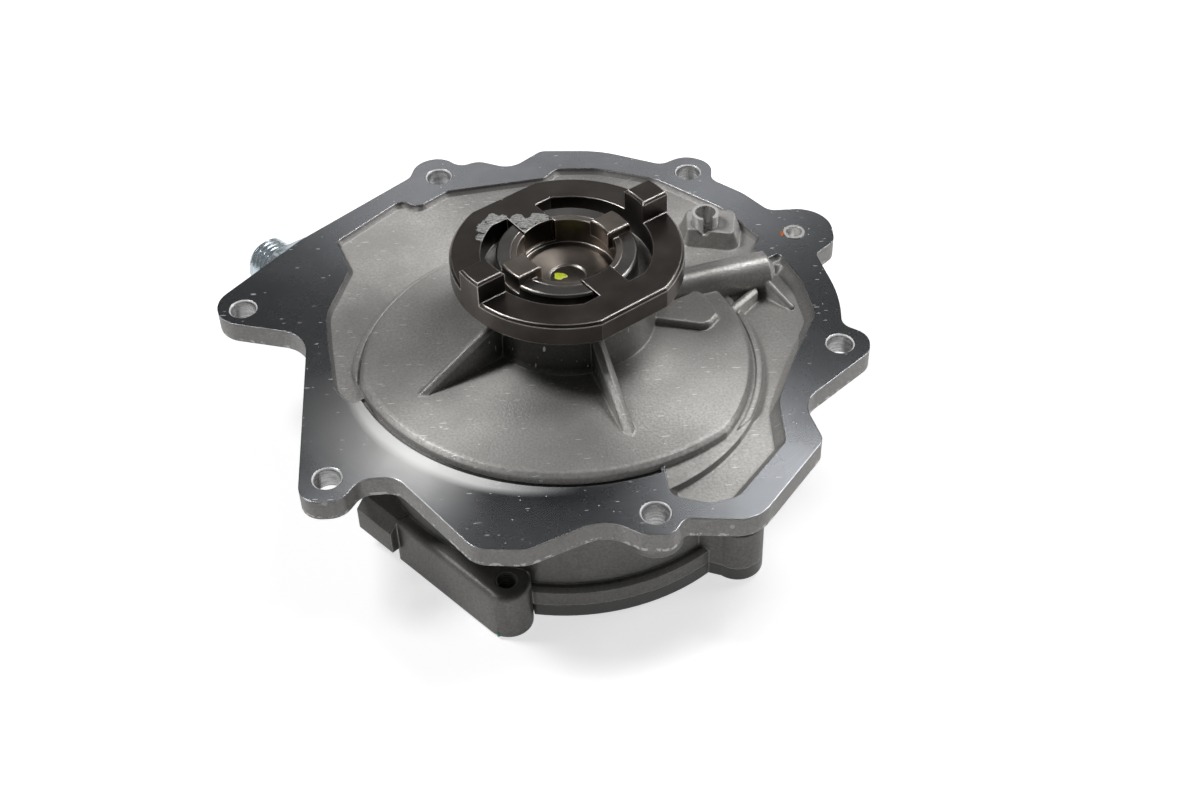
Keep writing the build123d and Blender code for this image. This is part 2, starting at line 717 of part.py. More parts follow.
def rotor():
    """Slotted rotor body, journal and hollow drive end in one piece."""
    body = rod(rotor_r, joint_z + end_gap, chamber_top - end_gap)
    slot = Rot(0, 0, eccentric_angle) * Rectangle(3 * rotor_r, vane_thickness + 2 * slot_gap)
    journal = rod(journal_r, chamber_top - end_gap - 0.5, tube_top)
    journal = chamfer(edges_at(journal, tube_top), 0.5)
    body += journal
    body -= plate(slot, joint_z - 1, chamber_top)
    body -= rod(tube_bore_r, tube_floor_z, tube_top + 1)
    tongue_slot = Rot(0, 0, lug_angle + 90) * Rectangle(3 * journal_r, tongue_width + 2 * coupling_gap)
    body -= plate(tongue_slot, coupling_bottom, tube_top + 1)
    tab_slot = Rot(0, 0, lug_angle) * Rectangle(3 * journal_r, tab_width + 0.1)
    return body - plate(tab_slot, tube_top - tab_depth, tube_top + 1)


def drive_insert():
    """Bronze cup with a dished floor in the tube, located by two tabs in the tube's end."""
    outer = tube_bore_r - 0.02
    body = rod(outer, tube_floor_z, tube_top)
    inner = outer - insert_wall
    profile = Polyline(
        (0, insert_floor_z), (insert_disc_r, insert_floor_z), (insert_disc_r, insert_step_z - insert_dish),
        (insert_step_r, insert_step_z), (inner, insert_step_z), (inner, tube_top + 1), (0, tube_top + 1),
        close=True,
    )
    body -= revolve(Plane.XZ * make_face(profile), Axis.Z)
    slot = Rot(0, 0, lug_angle + 90) * Rectangle(3 * outer, tongue_width + 0.6)
    body -= plate(slot, coupling_bottom - 0.3, tube_top + 1)
    ring = Circle(tab_outer_r) - Circle(tab_inner_r)
    bar = Rot(0, 0, lug_angle) * Rectangle(3 * tab_outer_r, tab_width)
    tabs = plate(ring & bar, tube_top - tab_depth, coupling_top + tab_rise)
    return body + chamfer(edges_at(tabs, coupling_top + tab_rise), 0.35)


def coupling_disc():
    """Floating disc: two tongues reach into the tube, two lugs drive from the camshaft."""
    flats = Rot(0, 0, lug_angle) * Rectangle(3 * disc_r, 2 * disc_half_flats)
    outline = Circle(disc_r) & flats
    webs = Rot(0, 0, lug_angle) * Rectangle(3 * disc_r, 2 * disc_half_chords)
    body = plate(outline, coupling_bottom, coupling_top)
    rim = edges_at(body, coupling_top)
    body = chamfer(rim, disc_bevel)
    body = chamfer(edges_at(body, coupling_bottom), disc_bevel - 0.2)
    body -= plate(Circle(disc_opening_r) & webs, coupling_bottom - 1, coupling_top + 1)
    bar = Rot(0, 0, lug_angle + 90) * Rectangle(2 * disc_half_chords + 2, tongue_width)
    tongues = bar - Circle(tongue_end_r)
    body += plate(tongues, coupling_bottom, coupling_top)
    lug_bar = Rot(0, 0, lug_angle) * Rectangle(3 * disc_r, lug_width)
    lug_ring = Circle(disc_r) - Circle(disc_opening_r)
    lugs = plate(lug_bar & lug_ring, coupling_top - disc_bevel - 0.1, coupling_top + lug_height)
    return body + chamfer(edges_at(lugs, coupling_top + lug_height), 0.6)


def vane_height():
    return (joint_z + end_gap, chamber_top - end_gap)


def along_vane(face):
    """Turn a plan drawn along X into the vane's place through the chamber centre."""
    return Pos(*eccentric) * Rot(0, 0, eccentric_angle) * face


def vane():
    """Vane plate with a thin tongue at each end."""
    low, high = vane_height()
    half = vane_length / 2 - tip_length
    plan = Rectangle(2 * half, vane_thickness)
    plan += Rectangle(2 * half + 2 * tip_tongue_length, tip_tongue)
    plan -= Circle(vane_core_r + running_gap)
    return plate(along_vane(plan), low, high)


def vane_tip(side):
    """Replaceable rounded tip that straddles the vane's tongue."""
    low, high = vane_height()
    end = vane_length / 2
    body = Pos(end - tip_r) * Circle(tip_r)
    near = end - tip_length + 0.05
    body += Pos((near + end - tip_r) / 2) * Rectangle(end - tip_r - near, vane_thickness)
    body -= Pos(near + tip_tongue_length / 2) * Rectangle(tip_tongue_length + 0.2, tip_tongue + 0.1)
    return plate(along_vane(Rot(0, 0, 180 * side) * body), low, high)


def vane_core():
    """Pin in the middle of the vane; it marks the point that circles twice per turn."""
    low, high = vane_height()
    return rod(vane_core_r, low, high, eccentric)


pieces = {
    "pump_housing": housing_cuts(pump_housing()),
    "rear_cover": rear_cover(),
    "cover_seal": cover_seal(),
    "cover_screws": cover_screws(),
    "boss_screw": boss_screw(),
    "port_fitting": port_fitting(),
    "port_washer": port_washer(),
    "valve_seat_plate": valve_seat_plate(),
    "umbrella_valve": umbrella_valve(),
    "outlet_reed": outlet_reed(),
    "outlet_reed_stop": outlet_reed_stop(),
    "reed_screw": reed_screw(),
    "spring_sleeve": spring_sleeve(),
    "locating_bush": locating_bush(),
    "rotor": rotor(),
    "drive_insert": drive_insert(),
    "coupling_disc": coupling_disc(),
    "vane": vane(),
    "vane_tip_a": vane_tip(0),
    "vane_tip_b": vane_tip(1),
    "vane_core": vane_core(),
}

for name, piece in pieces.items():
    export_step(piece, f"parts/{name}.step")
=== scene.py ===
# %% [markdown]
# # Dressing a brake vacuum pump in Blender
# The pump's solids come from CAD and already have their true shapes and sizes.
# This lesson gives them cast, milled, plated and worn surfaces, adds the small
# forms that CAD leaves out, such as screw threads and paint marks, and lights them.
# Lengths are written in millimetres and multiplied by `MM`, because Blender counts
# in metres. The drive axis of the pump is the Z axis, and its milled face lies at
# height zero.

# %% Load the CAD model
import bmesh
import bpy
import json
import math
from mathutils import Matrix, Vector
from types import SimpleNamespace


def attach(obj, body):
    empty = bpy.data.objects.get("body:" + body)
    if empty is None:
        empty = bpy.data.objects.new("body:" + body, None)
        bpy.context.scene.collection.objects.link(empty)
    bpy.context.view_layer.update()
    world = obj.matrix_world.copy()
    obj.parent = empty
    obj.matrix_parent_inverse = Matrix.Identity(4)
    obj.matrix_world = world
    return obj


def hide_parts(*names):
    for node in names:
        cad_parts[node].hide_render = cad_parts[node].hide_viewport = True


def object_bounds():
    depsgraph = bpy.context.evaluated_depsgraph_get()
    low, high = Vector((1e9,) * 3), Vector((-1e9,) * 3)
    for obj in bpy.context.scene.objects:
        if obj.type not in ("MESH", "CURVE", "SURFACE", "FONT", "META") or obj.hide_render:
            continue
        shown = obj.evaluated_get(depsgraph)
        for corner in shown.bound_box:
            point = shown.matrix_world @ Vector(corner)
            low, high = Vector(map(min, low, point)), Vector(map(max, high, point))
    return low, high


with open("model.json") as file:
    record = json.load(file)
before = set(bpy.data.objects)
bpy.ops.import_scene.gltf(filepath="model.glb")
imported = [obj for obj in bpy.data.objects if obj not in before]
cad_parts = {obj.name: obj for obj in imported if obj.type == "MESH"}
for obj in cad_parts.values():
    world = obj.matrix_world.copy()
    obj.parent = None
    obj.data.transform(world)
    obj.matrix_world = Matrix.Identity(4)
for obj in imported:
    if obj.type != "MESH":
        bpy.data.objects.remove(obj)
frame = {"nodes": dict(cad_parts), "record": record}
cad_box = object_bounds()
MM = 0.001
DEGREE = math.radians(1)

# %% [markdown]
# ## Wiring materials
# Every finish is a small network of nodes that ends in one shader. It could be drawn
# by hand in the editor, but a script can be read, repeated and corrected. Each
# network starts the same way, with a shader and with the object's own coordinates,
# so that a pattern stays on its piece when the piece moves.

# %% Start a finish and link its sockets
def start_finish(name, colour, metallic, roughness):
    """A new material with one shader, and the coordinates that its patterns read."""
    material = bpy.data.materials.new(name)
    material.use_nodes = True
    tree = material.node_tree
    shader = tree.nodes["Principled BSDF"]
    shader.inputs["Base Color"].default_value = (*colour, 1)
    shader.inputs["Metallic"].default_value = metallic
    shader.inputs["Roughness"].default_value = roughness
    where = tree.nodes.new("ShaderNodeTexCoord").outputs["Object"]
    return material, tree, shader, where


def feed(tree, socket, value):
    """Link a socket, or set a plain number or colour."""
    if isinstance(value, bpy.types.NodeSocket):
        tree.links.new(value, socket)
    else:
        socket.default_value = value


print("a finish starts with a shader and object coordinates")

# %% [markdown]
# Two textures make nearly all the patterns. Noise gives soft clouds when it is coarse
# and grain when it is fine. Cells give the distance to scattered points, which makes
# pits and specks where only the smallest distances are kept. Their scale says how many
# patches fit in a metre: 45 gives blotches of two centimetres, 1500 a grain finer than
# a millimetre. When the coordinates are squeezed first, round spots become strokes.

# %% Noise, cells and squeezed coordinates
def noise(tree, where, scale, detail=3.0, roughness=0.55):
    node = tree.nodes.new("ShaderNodeTexNoise")
    feed(tree, node.inputs["Vector"], where)
    node.inputs["Scale"].default_value = scale
    node.inputs["Detail"].default_value = detail
    node.inputs["Roughness"].default_value = roughness
    return node.outputs["Fac"]


def cells(tree, where, scale):
    node = tree.nodes.new("ShaderNodeTexVoronoi")
    feed(tree, node.inputs["Vector"], where)
    node.inputs["Scale"].default_value = scale
    return node.outputs["Distance"]


def scaled(tree, where, size, turn=0.0):
    """Coordinates multiplied along each axis and then turned about Z.

    The turn comes last, so it leaves the strokes' direction alone: it only picks
    another part of the pattern.
    """
    node = tree.nodes.new("ShaderNodeMapping")
    feed(tree, node.inputs["Vector"], where)
    node.inputs["Scale"].default_value = size
    node.inputs["Rotation"].default_value = (0, 0, turn)
    return node.outputs["Vector"]


print("patterns: noise, cells, squeezed coordinates")

# %% [markdown]
# A mask is a number from 0 to 1 that says where a look belongs. Masks could be
# painted by hand, but here each one follows from a measure, so it is worked out from
# the coordinates: a comparison gives 0 or 1, a product keeps what two masks share,
# and a stretched range fades from one to the other.

# %% Sums and masks
def sums(tree, operation, first, second=0.0, third=0.0):
    node = tree.nodes.new("ShaderNodeMath")
    node.operation = operation
    for socket, value in zip(node.inputs, (first, second, third)):
        feed(tree, socket, value)
    return node.outputs["Value"]


def times(tree, first, *others):
    """The product of several values."""
    for value in others:
        first = sums(tree, "MULTIPLY", first, value)
    return first


def stretch(tree, value, low, high, first=0.0, last=1.0):
    """Spread the part of a value between low and high over a new range."""
    node = tree.nodes.new("ShaderNodeMapRange")
    feed(tree, node.inputs["Value"], value)
    limits = {"From Min": low, "From Max": high, "To Min": first, "To Max": last}
    for key, number in limits.items():
        node.inputs[key].default_value = number
    return node.outputs["Result"]


def within(tree, value, limits, unit=MM):
    """1 where a value lies between two limits, in mm or in another unit."""
    low, high = limits
    above = sums(tree, "GREATER_THAN", value, low * unit)
    return times(tree, above, sums(tree, "LESS_THAN", value, high * unit))


def length(tree, x, y):
    """How far a point with these two coordinates is from zero."""
    return sums(tree, "SQRT", sums(tree, "ADD", times(tree, x, x), times(tree, y, y)))


print("masks come from sums on coordinates")

# %% [markdown]
# One node blends numbers, vectors and colours. It has a pair of inputs and an output
# for each kind, and they share their names, so they are found by their number. A
# worn surface is then built like real paintwork: a ground colour, and one layer after
# another laid over it where a mask says.

# %% Blending and layers
MIX_SOCKETS = {"FLOAT": (2, 3, 0), "VECTOR": (4, 5, 1), "RGBA": (6, 7, 2)}


def mix(tree, factor, first, second, kind="RGBA"):
    """Blend two numbers, vectors or colours: a factor of 1 gives the second."""
    node = tree.nodes.new("ShaderNodeMix")
    node.data_type = kind
    input_a, input_b, output = MIX_SOCKETS[kind]
    feed(tree, node.inputs[0], factor)
    for index, value in ((input_a, first), (input_b, second)):
        feed(tree, node.inputs[index], (*value, 1) if isinstance(value, tuple) else value)
    return node.outputs[output]


def layered(tree, colour, layers):
    """A colour with others laid over it, each where its mask says."""
    for mask, over in layers:
        colour = mix(tree, mask, colour, over)
    return colour


def grey(value):
    return (value, value, value)


print("kinds that can be blended:", list(MIX_SOCKETS))

# %% [markdown]
# Fine grain is not modelled but faked with bump, which tilts the surface in the
# shading only. CAD edges are perfectly sharp and real ones never are, so the bevel
# node rounds them in the shading too. Where the rounded normal leaves the flat one
# there is an edge, and that difference is a ready mask for rubbed edges, which are
# also brightened as a painted highlight.

# %% Bump, rounded edges and directions
def relief(tree, shader, height, depth, base=None):
    """Bump from a height between 0 and 1, its depth in metres."""
    node = tree.nodes.new("ShaderNodeBump")
    node.inputs["Strength"].default_value = 1.0
    node.inputs["Distance"].default_value = depth
    feed(tree, node.inputs["Height"], height)
    if base is not None:
        feed(tree, node.inputs["Normal"], base)
    feed(tree, shader.inputs["Normal"], node.outputs["Normal"])


def rounded_normal(tree, radius):
    """Normals as if each sharp edge had a rounding of this radius, in mm."""
    bevel = tree.nodes.new("ShaderNodeBevel")
    bevel.samples = 6
    bevel.inputs["Radius"].default_value = radius * MM
    return bevel.outputs["Normal"]


def flat_normal(tree):
    return tree.nodes.new("ShaderNodeNewGeometry").outputs["True Normal"]


def edge_mask(tree, rounded):
    """1 on edges, where the rounded normal leaves the flat one."""
    dot = tree.nodes.new("ShaderNodeVectorMath")
    dot.operation = "DOT_PRODUCT"
    feed(tree, dot.inputs[0], rounded)
    feed(tree, dot.inputs[1], flat_normal(tree))
    return stretch(tree, dot.outputs["Value"], 0.995, 0.86)


def axes(tree, vector):
    node = tree.nodes.new("ShaderNodeSeparateXYZ")
    feed(tree, node.inputs["Vector"], vector)
    return node.outputs["X"], node.outputs["Y"], node.outputs["Z"]


def vector_of(tree, x, y):
    """A vector from two coordinates, its third one zero."""
    node = tree.nodes.new("ShaderNodeCombineXYZ")
    feed(tree, node.inputs["X"], x)
    feed(tree, node.inputs["Y"], y)
    return node.outputs["Vector"]


def facing_up(tree):
    """1 on faces that point along +Z, 0 on all others."""
    return stretch(tree, axes(tree, flat_normal(tree))[2], 0.9, 0.98)


print("bump, bevel and edge masks are ready")

# %% [markdown]
# Handling leaves short hair-fine scratches, and they come in clusters where the
# part was knocked about. One way is to draw each one. It is quicker to squeeze a cell
# pattern into strokes, keep only the middle of each, and let a coarse noise decide
# where the clusters are.

# %% Clusters of hair-fine scratches
STROKE = (1, 8, 1)              # squeezed eight times along Y, so strokes run along X
UNSQUEEZED = (1, 1, 1)
CLUSTER_SCALE = 42              # about 40 clusters to a metre


def hairlines(tree, where, turn, fineness, width, cutoff):
    """1 on short scratches that run along X in loose clusters.

    A greater width gives thicker strokes, a higher cutoff fewer and smaller clusters.
    """
    strokes = cells(tree, scaled(tree, where, STROKE, turn), fineness)
    clouds = noise(tree, scaled(tree, where, UNSQUEEZED, turn), CLUSTER_SCALE, 3, 0.6)
    return times(tree, sums(tree, "LESS_THAN", strokes, width),
                 sums(tree, "GREATER_THAN", clouds, cutoff))


def scratched(tree, where, mask, sets, width, cutoff):
    """A mask joined with several sets of hairlines, each given as (turn, fineness)."""
    for turn, fineness in sets:
        lines = hairlines(tree, where, turn, fineness, width, cutoff)
        mask = sums(tree, "MAXIMUM", mask, lines)
    return mask


print("clusters per metre:", CLUSTER_SCALE)

# %% [markdown]
# ## The casting and its milled face
# The housing is die-cast aluminium. Its skin is dull, finely grained and slightly
# blotched. The mounting face is milled flat afterwards and shows a satin sheen with
# hair-fine marks and bright nicks. Both are one solid, so one material has to tell
# them apart. It does so by place: the milled skin is wherever a surface points up at
# height zero. First come the places that need a look of their own.

# %% Places on the housing, in mm and degrees
FACE_HEIGHTS = (-0.02, 0.05)
CAP_RIM_RADII, CAP_RIM_HEIGHTS = (54.3, 57), (0.9, 2.1)
GROOVE_SECTOR = (-154.5, -68.5)             # open part of the groove round the cap
GROOVE_RADII, GROOVE_HEIGHTS = (56.1, 57.6), (-2.6, -0.8)
GROOVE_SHADE_FROM, GROOVE_SHADE_FULL = -154, -118
LIP_RADII, LIP_HEIGHTS = (57.3, 58.2), (-0.42, -0.01)
FRONT_RIB_SECTOR = (-142, -75)              # between the two ribs of the neck
NECK_SHADE_RADII, NECK_SHADE_HEIGHTS = (31, 23), (1, 4)   # from no painted shade to full painted shade
BELOW_HEIGHTS = (-5, -9)                    # from the flange's look to the lower body's
SCRATCHED_HEIGHTS = (-5, -3)
# where the two painted highlights lie on the milled face
GLEAM_HEADING, GLEAM_RADII = 224, (80, 58)
CRESCENT_HEADING, CRESCENT_RADII, CRESCENT_WIDENING = 235, (60.2, 58.0), 2.2
WALL_RADIUS, WALL_HEIGHTS = 58, (-8.5, -0.3)
FLASH_RADIUS, FLASH_HEIGHTS = 60, (-6.0, -4.8)
HOLE_REACH = 3.75                           # from a bolt hole's axis to past its bevel
HOLE_WALL_HEIGHTS, HOLE_BEVEL_HEIGHTS = (-8.6, -0.34), (-0.36, -0.01)

bolt_places = [mount["pos_m"] for mount in frame["record"]["mounts"]
               if mount["name"].startswith("flange_bolt")]
print("bolt holes:", len(bolt_places))

# %% [markdown]
# A turned or cast part is easiest to describe from its axis: how high a point is, how
# far out, and in which direction. The bolt holes sit elsewhere, so for them the
# distance to the nearest of six axes is taken. Their places are read from the CAD
# record and not typed in, so they always agree with the model.

# %% How far, how high, in which direction
def place_on_housing(tree, where):
    """A point's coordinates, distance and direction from the drive axis, and two masks."""
    x, y, z = axes(tree, where)
    up = facing_up(tree)
    return SimpleNamespace(
        where=where, x=x, y=y, z=z, radius=length(tree, x, y),
        angle=sums(tree, "ARCTAN2", y, x), up=up,
        milled=times(tree, up, within(tree, z, FACE_HEIGHTS)))


def fade(tree, value, limits, first=0.0, last=1.0):
    """Go from first to last while a length goes from one limit to the other, in mm."""
    return stretch(tree, value, limits[0] * MM, limits[1] * MM, first, last)


def toward(tree, at, heading, faded, full):
    """1 in one heading from the axis, in degrees, and fading on either side of it.

    The last two numbers are cosines: how far off the heading it has faded, and how
    near to the heading it is full.
    """
    along = sums(tree, "ADD", times(tree, at.x, math.cos(math.radians(heading))),
                 times(tree, at.y, math.sin(math.radians(heading))))
    return stretch(tree, sums(tree, "DIVIDE", along, at.radius), faded, full)


def hole_walls(tree, at):
    """1 on the walls of the bolt holes, and 1 on the bevels at their top."""
    spot = vector_of(tree, at.x, at.y)
    nearest = None
    for place in bolt_places:
        node = tree.nodes.new("ShaderNodeVectorMath")
        node.operation = "DISTANCE"
        feed(tree, node.inputs[0], spot)
        node.inputs[1].default_value = (place[0], place[1], 0)
        gap = node.outputs["Value"]
        nearest = gap if nearest is None else sums(tree, "MINIMUM", nearest, gap)
    near = sums(tree, "LESS_THAN", nearest, HOLE_REACH * MM)
    return (times(tree, near, within(tree, at.z, HOLE_WALL_HEIGHTS)),
            times(tree, near, within(tree, at.z, HOLE_BEVEL_HEIGHTS)))


print("places are measured from the drive axis")

# %% [markdown]
# ### The cast skin
# Molten metal freezes against the mould and leaves a grey, blotched skin with fine
# grain and small pits. Handling has scratched it and rubbed its edges bright, and the
# bright edges also stand in as a painted highlight. Below the flange the skin is
# coloured darker as painted shade, and painted shade lies round the foot of the neck,
# most of all between the two front ribs. Each of these is one layer.

# %% Colour of the cast skin
CAST_PALE, CAST_DEEP = (0.53, 0.52, 0.50), (0.40, 0.39, 0.375)
CAST_GRAIN, CAST_PIT = (0.30, 0.295, 0.285), (0.16, 0.155, 0.15)
# Painted shade: the first of these two darkens the lower body, the second the foot of the
# neck.
CAST_PAINTED_SHADE_BELOW, PAINTED_NECK_SHADE = (0.085, 0.083, 0.08), (0.03, 0.029, 0.028)
CAP_RIM, CAST_SCRATCH = (0.56, 0.55, 0.53), (0.82, 0.82, 0.8)
RUBBED = (0.75, 0.74, 0.72)
CAST_SCRATCH_SETS = ((0.9, 110), (-0.4, 90), (2.2, 130))
CAST_SCRATCH_WIDTH, CAST_CLUSTER_CUTOFF = 0.095, 0.5
CHIP_SHAPE, CHIP_CUTOFF = (1, 1.7, 1), 0.735
NECK_SHADE_ALL_ROUND, NECK_SHADE_MORE_IN_FRONT = 0.25, 0.6


def cast_skin(tree, at, grain, pits, edge):
    """Colour of the skin as it comes from the mould, with its wear and painted shade."""
    where = at.where
    blotch = stretch(tree, noise(tree, where, 45, 4), 0.4, 0.62)
    on_cap_rim = times(tree, within(tree, at.z, CAP_RIM_HEIGHTS),
                       within(tree, at.radius, CAP_RIM_RADII),
                       stretch(tree, noise(tree, where, 900, 3, 0.7), 0.4, 0.65))
    between_ribs = within(tree, at.angle, FRONT_RIB_SECTOR, DEGREE)
    # Painted shade round the foot of the neck, strongest between the two front ribs.
    painted_neck_shade = times(tree, fade(tree, at.z, NECK_SHADE_HEIGHTS), fade(tree, at.radius, NECK_SHADE_RADII),
                 sums(tree, "MULTIPLY_ADD", between_ribs, NECK_SHADE_MORE_IN_FRONT, NECK_SHADE_ALL_ROUND))
    chips = noise(tree, scaled(tree, where, CHIP_SHAPE, 0.6), 900, 2)
    scratches = scratched(tree, where, sums(tree, "GREATER_THAN", chips, CHIP_CUTOFF),
                          CAST_SCRATCH_SETS, CAST_SCRATCH_WIDTH, CAST_CLUSTER_CUTOFF)
    scratches = times(tree, scratches, fade(tree, at.z, SCRATCHED_HEIGHTS, 0, 0.85))
    return layered(tree, CAST_PALE, [
        (blotch, CAST_DEEP),
        (stretch(tree, grain, 0.35, 0.65, 0, 0.6), CAST_GRAIN),
        (times(tree, pits, 0.5), CAST_PIT),
        # painted shade under the flange, darker towards the bottom
        (fade(tree, at.z, BELOW_HEIGHTS, 0, 0.78), CAST_PAINTED_SHADE_BELOW),
        (on_cap_rim, CAP_RIM),
        # painted shade at the foot of the neck
        (painted_neck_shade, PAINTED_NECK_SHADE),
        (scratches, CAST_SCRATCH),
        # edges rubbed bright: partly wear, partly a painted highlight
        (times(tree, edge, 0.5), RUBBED),
    ])


print("scratch sets on the skin:", len(CAST_SCRATCH_SETS))

# %% [markdown]
# ### Walls, groove and holes
# The outer wall of the flange is cast and lies in the shade of its own rim. Along its
# lower edge runs a ragged bright line, the flash, where the two halves of the mould
# met. Inside, the groove round the cap is coloured black as painted shade, fading in
# at one end. Its turned lip is bright, partly as a painted highlight, and the bolt
# holes are drilled, with rings left by the drill and a bright bevel on top, which is
# also partly a painted highlight.

# %% Colour of the flange wall, the groove and the holes
WALL_SHADE, GROOVE_PAINTED_SHADE = (0.14, 0.138, 0.135), grey(0.008)
DRILLED_PALE, DRILLED_DARK, BEVEL_BRIGHT = grey(0.60), grey(0.30), grey(0.92)
DRILL_RINGS = (0.1, 0.1, 1)     # stretched sideways, so the noise becomes rings


def walls_and_holes(tree, at, skin, drilled, lip):
    """The skin's colour with the flange wall, the groove's painted shade and the holes laid
    over it.
    """
    outer_wall = times(tree, within(tree, at.z, WALL_HEIGHTS),
                       sums(tree, "GREATER_THAN", at.radius, WALL_RADIUS * MM),
                       sums(tree, "SUBTRACT", 1.0, at.up))
    ragged = sums(tree, "GREATER_THAN", noise(tree, at.where, 420, 4, 0.7), 0.54)
    flash = times(tree, within(tree, at.z, FLASH_HEIGHTS),
                  sums(tree, "GREATER_THAN", at.radius, FLASH_RADIUS * MM), ragged)
    # Painted shade: the groove is coloured black, fading in at one end.
    painted_groove_shade = times(tree, within(tree, at.radius, GROOVE_RADII),
                   within(tree, at.z, GROOVE_HEIGHTS),
                   within(tree, at.angle, GROOVE_SECTOR, DEGREE),
                   stretch(tree, at.angle, math.radians(GROOVE_SHADE_FROM),
                           math.radians(GROOVE_SHADE_FULL), 0.2, 1))
    rings = noise(tree, scaled(tree, at.where, DRILL_RINGS), 2600, 2)
    return layered(tree, skin, [
        (times(tree, outer_wall, 0.55), WALL_SHADE),
        (times(tree, flash, 0.6), RUBBED),
        (times(tree, painted_groove_shade, 0.95), GROOVE_PAINTED_SHADE),
        (drilled, mix(tree, stretch(tree, rings, 0.35, 0.65), DRILLED_PALE, DRILLED_DARK)),
        # turned metal, and its near-white colour is partly a painted highlight
        (lip, BEVEL_BRIGHT),
    ])


print("groove shaded over", GROOVE_SECTOR[1] - GROOVE_SECTOR[0], "degrees")

# %% [markdown]
# ### The milled face
# The cutter leaves faint rings round the axis. They are a noise read in rings: its
# coordinates are the distance from the axis, many times enlarged, and the angle,
# hardly at all. Beside the groove, in one heading, two painted highlights lie on the
# face: a broad gleam and a narrow crescent close to the groove.

# %% Colour of the milled face
SATIN_DARK, SATIN_PALE = (0.42, 0.435, 0.46), (0.465, 0.48, 0.505)
SATIN_CLOUD, SATIN_NICK = (0.34, 0.35, 0.37), (0.75, 0.76, 0.78)
PAINTED_GLEAM, PAINTED_CRESCENT = (0.97, 0.96, 0.94), (1.0, 1.0, 0.99)
NICK_SETS = ((0.8, 100), (-0.7, 120), (2.0, 140))
NICK_WIDTH, NICK_CLUSTER_CUTOFF, SPECK_SIZE = 0.075, 0.52, 0.065
RINGS_OUTWARD, RINGS_ROUND = 22, 0.05       # fine across the rings, slow along them


def painted_highlight_places(tree, at):
    """Masks of the painted highlights: the broad gleam and the narrow crescent."""
    painted_gleam = times(tree, toward(tree, at, GLEAM_HEADING, 0.86, 1.0),
                  fade(tree, at.radius, GLEAM_RADII))
    ahead = toward(tree, at, CRESCENT_HEADING, 0.80, 0.97)
    reach = sums(tree, "MULTIPLY_ADD", ahead, -CRESCENT_WIDENING * MM, at.radius)
    return painted_gleam, times(tree, fade(tree, reach, CRESCENT_RADII), ahead)


def nicks_on_face(tree, where):
    """1 on small round specks and on short scratches."""
    specks = sums(tree, "LESS_THAN", cells(tree, where, 420), SPECK_SIZE)
    gate = sums(tree, "GREATER_THAN", noise(tree, where, 55, 3, 0.6), 0.5)
    return scratched(tree, where, times(tree, specks, gate), NICK_SETS, NICK_WIDTH,
                     NICK_CLUSTER_CUTOFF)


def milled_face(tree, at, cloud, painted_gleam, painted_crescent, nicks):
    """Satin with faint rings, clouds, the two painted highlights and nicks."""
    rings = vector_of(tree, times(tree, at.radius, RINGS_OUTWARD),
                      times(tree, at.angle, RINGS_ROUND))
    return layered(tree, SATIN_DARK, [
        (stretch(tree, noise(tree, rings, 110, 3), 0.3, 0.7), SATIN_PALE),
        (stretch(tree, cloud, 0.35, 0.7, 0, 0.35), SATIN_CLOUD),
        # painted highlights: the broad gleam and the narrow crescent
        (painted_gleam, PAINTED_GLEAM),
        (painted_crescent, PAINTED_CRESCENT),
        (nicks, SATIN_NICK),
    ])


print("nick sets on the face:", len(NICK_SETS))

# %% [markdown]
# ### Putting the housing's finish together
# Milled metal mirrors light in a fan, because its fine rings spread the light across
# themselves and not along. The shader does this with anisotropy, and the tangent,
# a vector that runs round the axis, tells it how the rings lie. Bare metal is fully
# metallic, while oxide, nicks and bevels scatter light and are less so. The edges of
# the casting are rounder than those of the milled face, so two roundings are mixed.

# %% Cast aluminium with a milled face
CAST_ROUNDING, MILLED_ROUNDING = 0.9, 0.35
SKIN_METAL, LOWER_BODY_HEIGHTS = 0.6, (-7, -10)
GRAIN_DEPTH = 0.05


def how_metallic(tree, at, nicks, painted_crescent, lip):
    """0.6 on the skin, more low down and on the milled face, less where light scatters."""
    changes = (
        (at.milled, 0.4),
        (fade(tree, at.z, LOWER_BODY_HEIGHTS), 0.15),
        (times(tree, at.milled, nicks), -0.85),
        # the painted crescent is made less metallic, so that it stays white
        (times(tree, at.milled, painted_crescent), -0.6),
        (lip, -0.5),
    )
    metal = SKIN_METAL
    for mask, change in changes:
        metal = sums(tree, "MULTIPLY_ADD", mask, change, metal)
    return metal


def how_rough(tree, at, grain, cloud, painted_gleam, cut):
    """Rough on the skin, smoother where a tool has cut, smoothest on the face."""
    skin = sums(tree, "MULTIPLY_ADD", cut, -0.18, stretch(tree, grain, 0.3, 0.7, 0.42, 0.54))
    face = sums(tree, "MULTIPLY_ADD", painted_gleam, 0.06, stretch(tree, cloud, 0.3, 0.7, 0.25, 0.29))
    return mix(tree, at.milled, skin, face, "FLOAT")


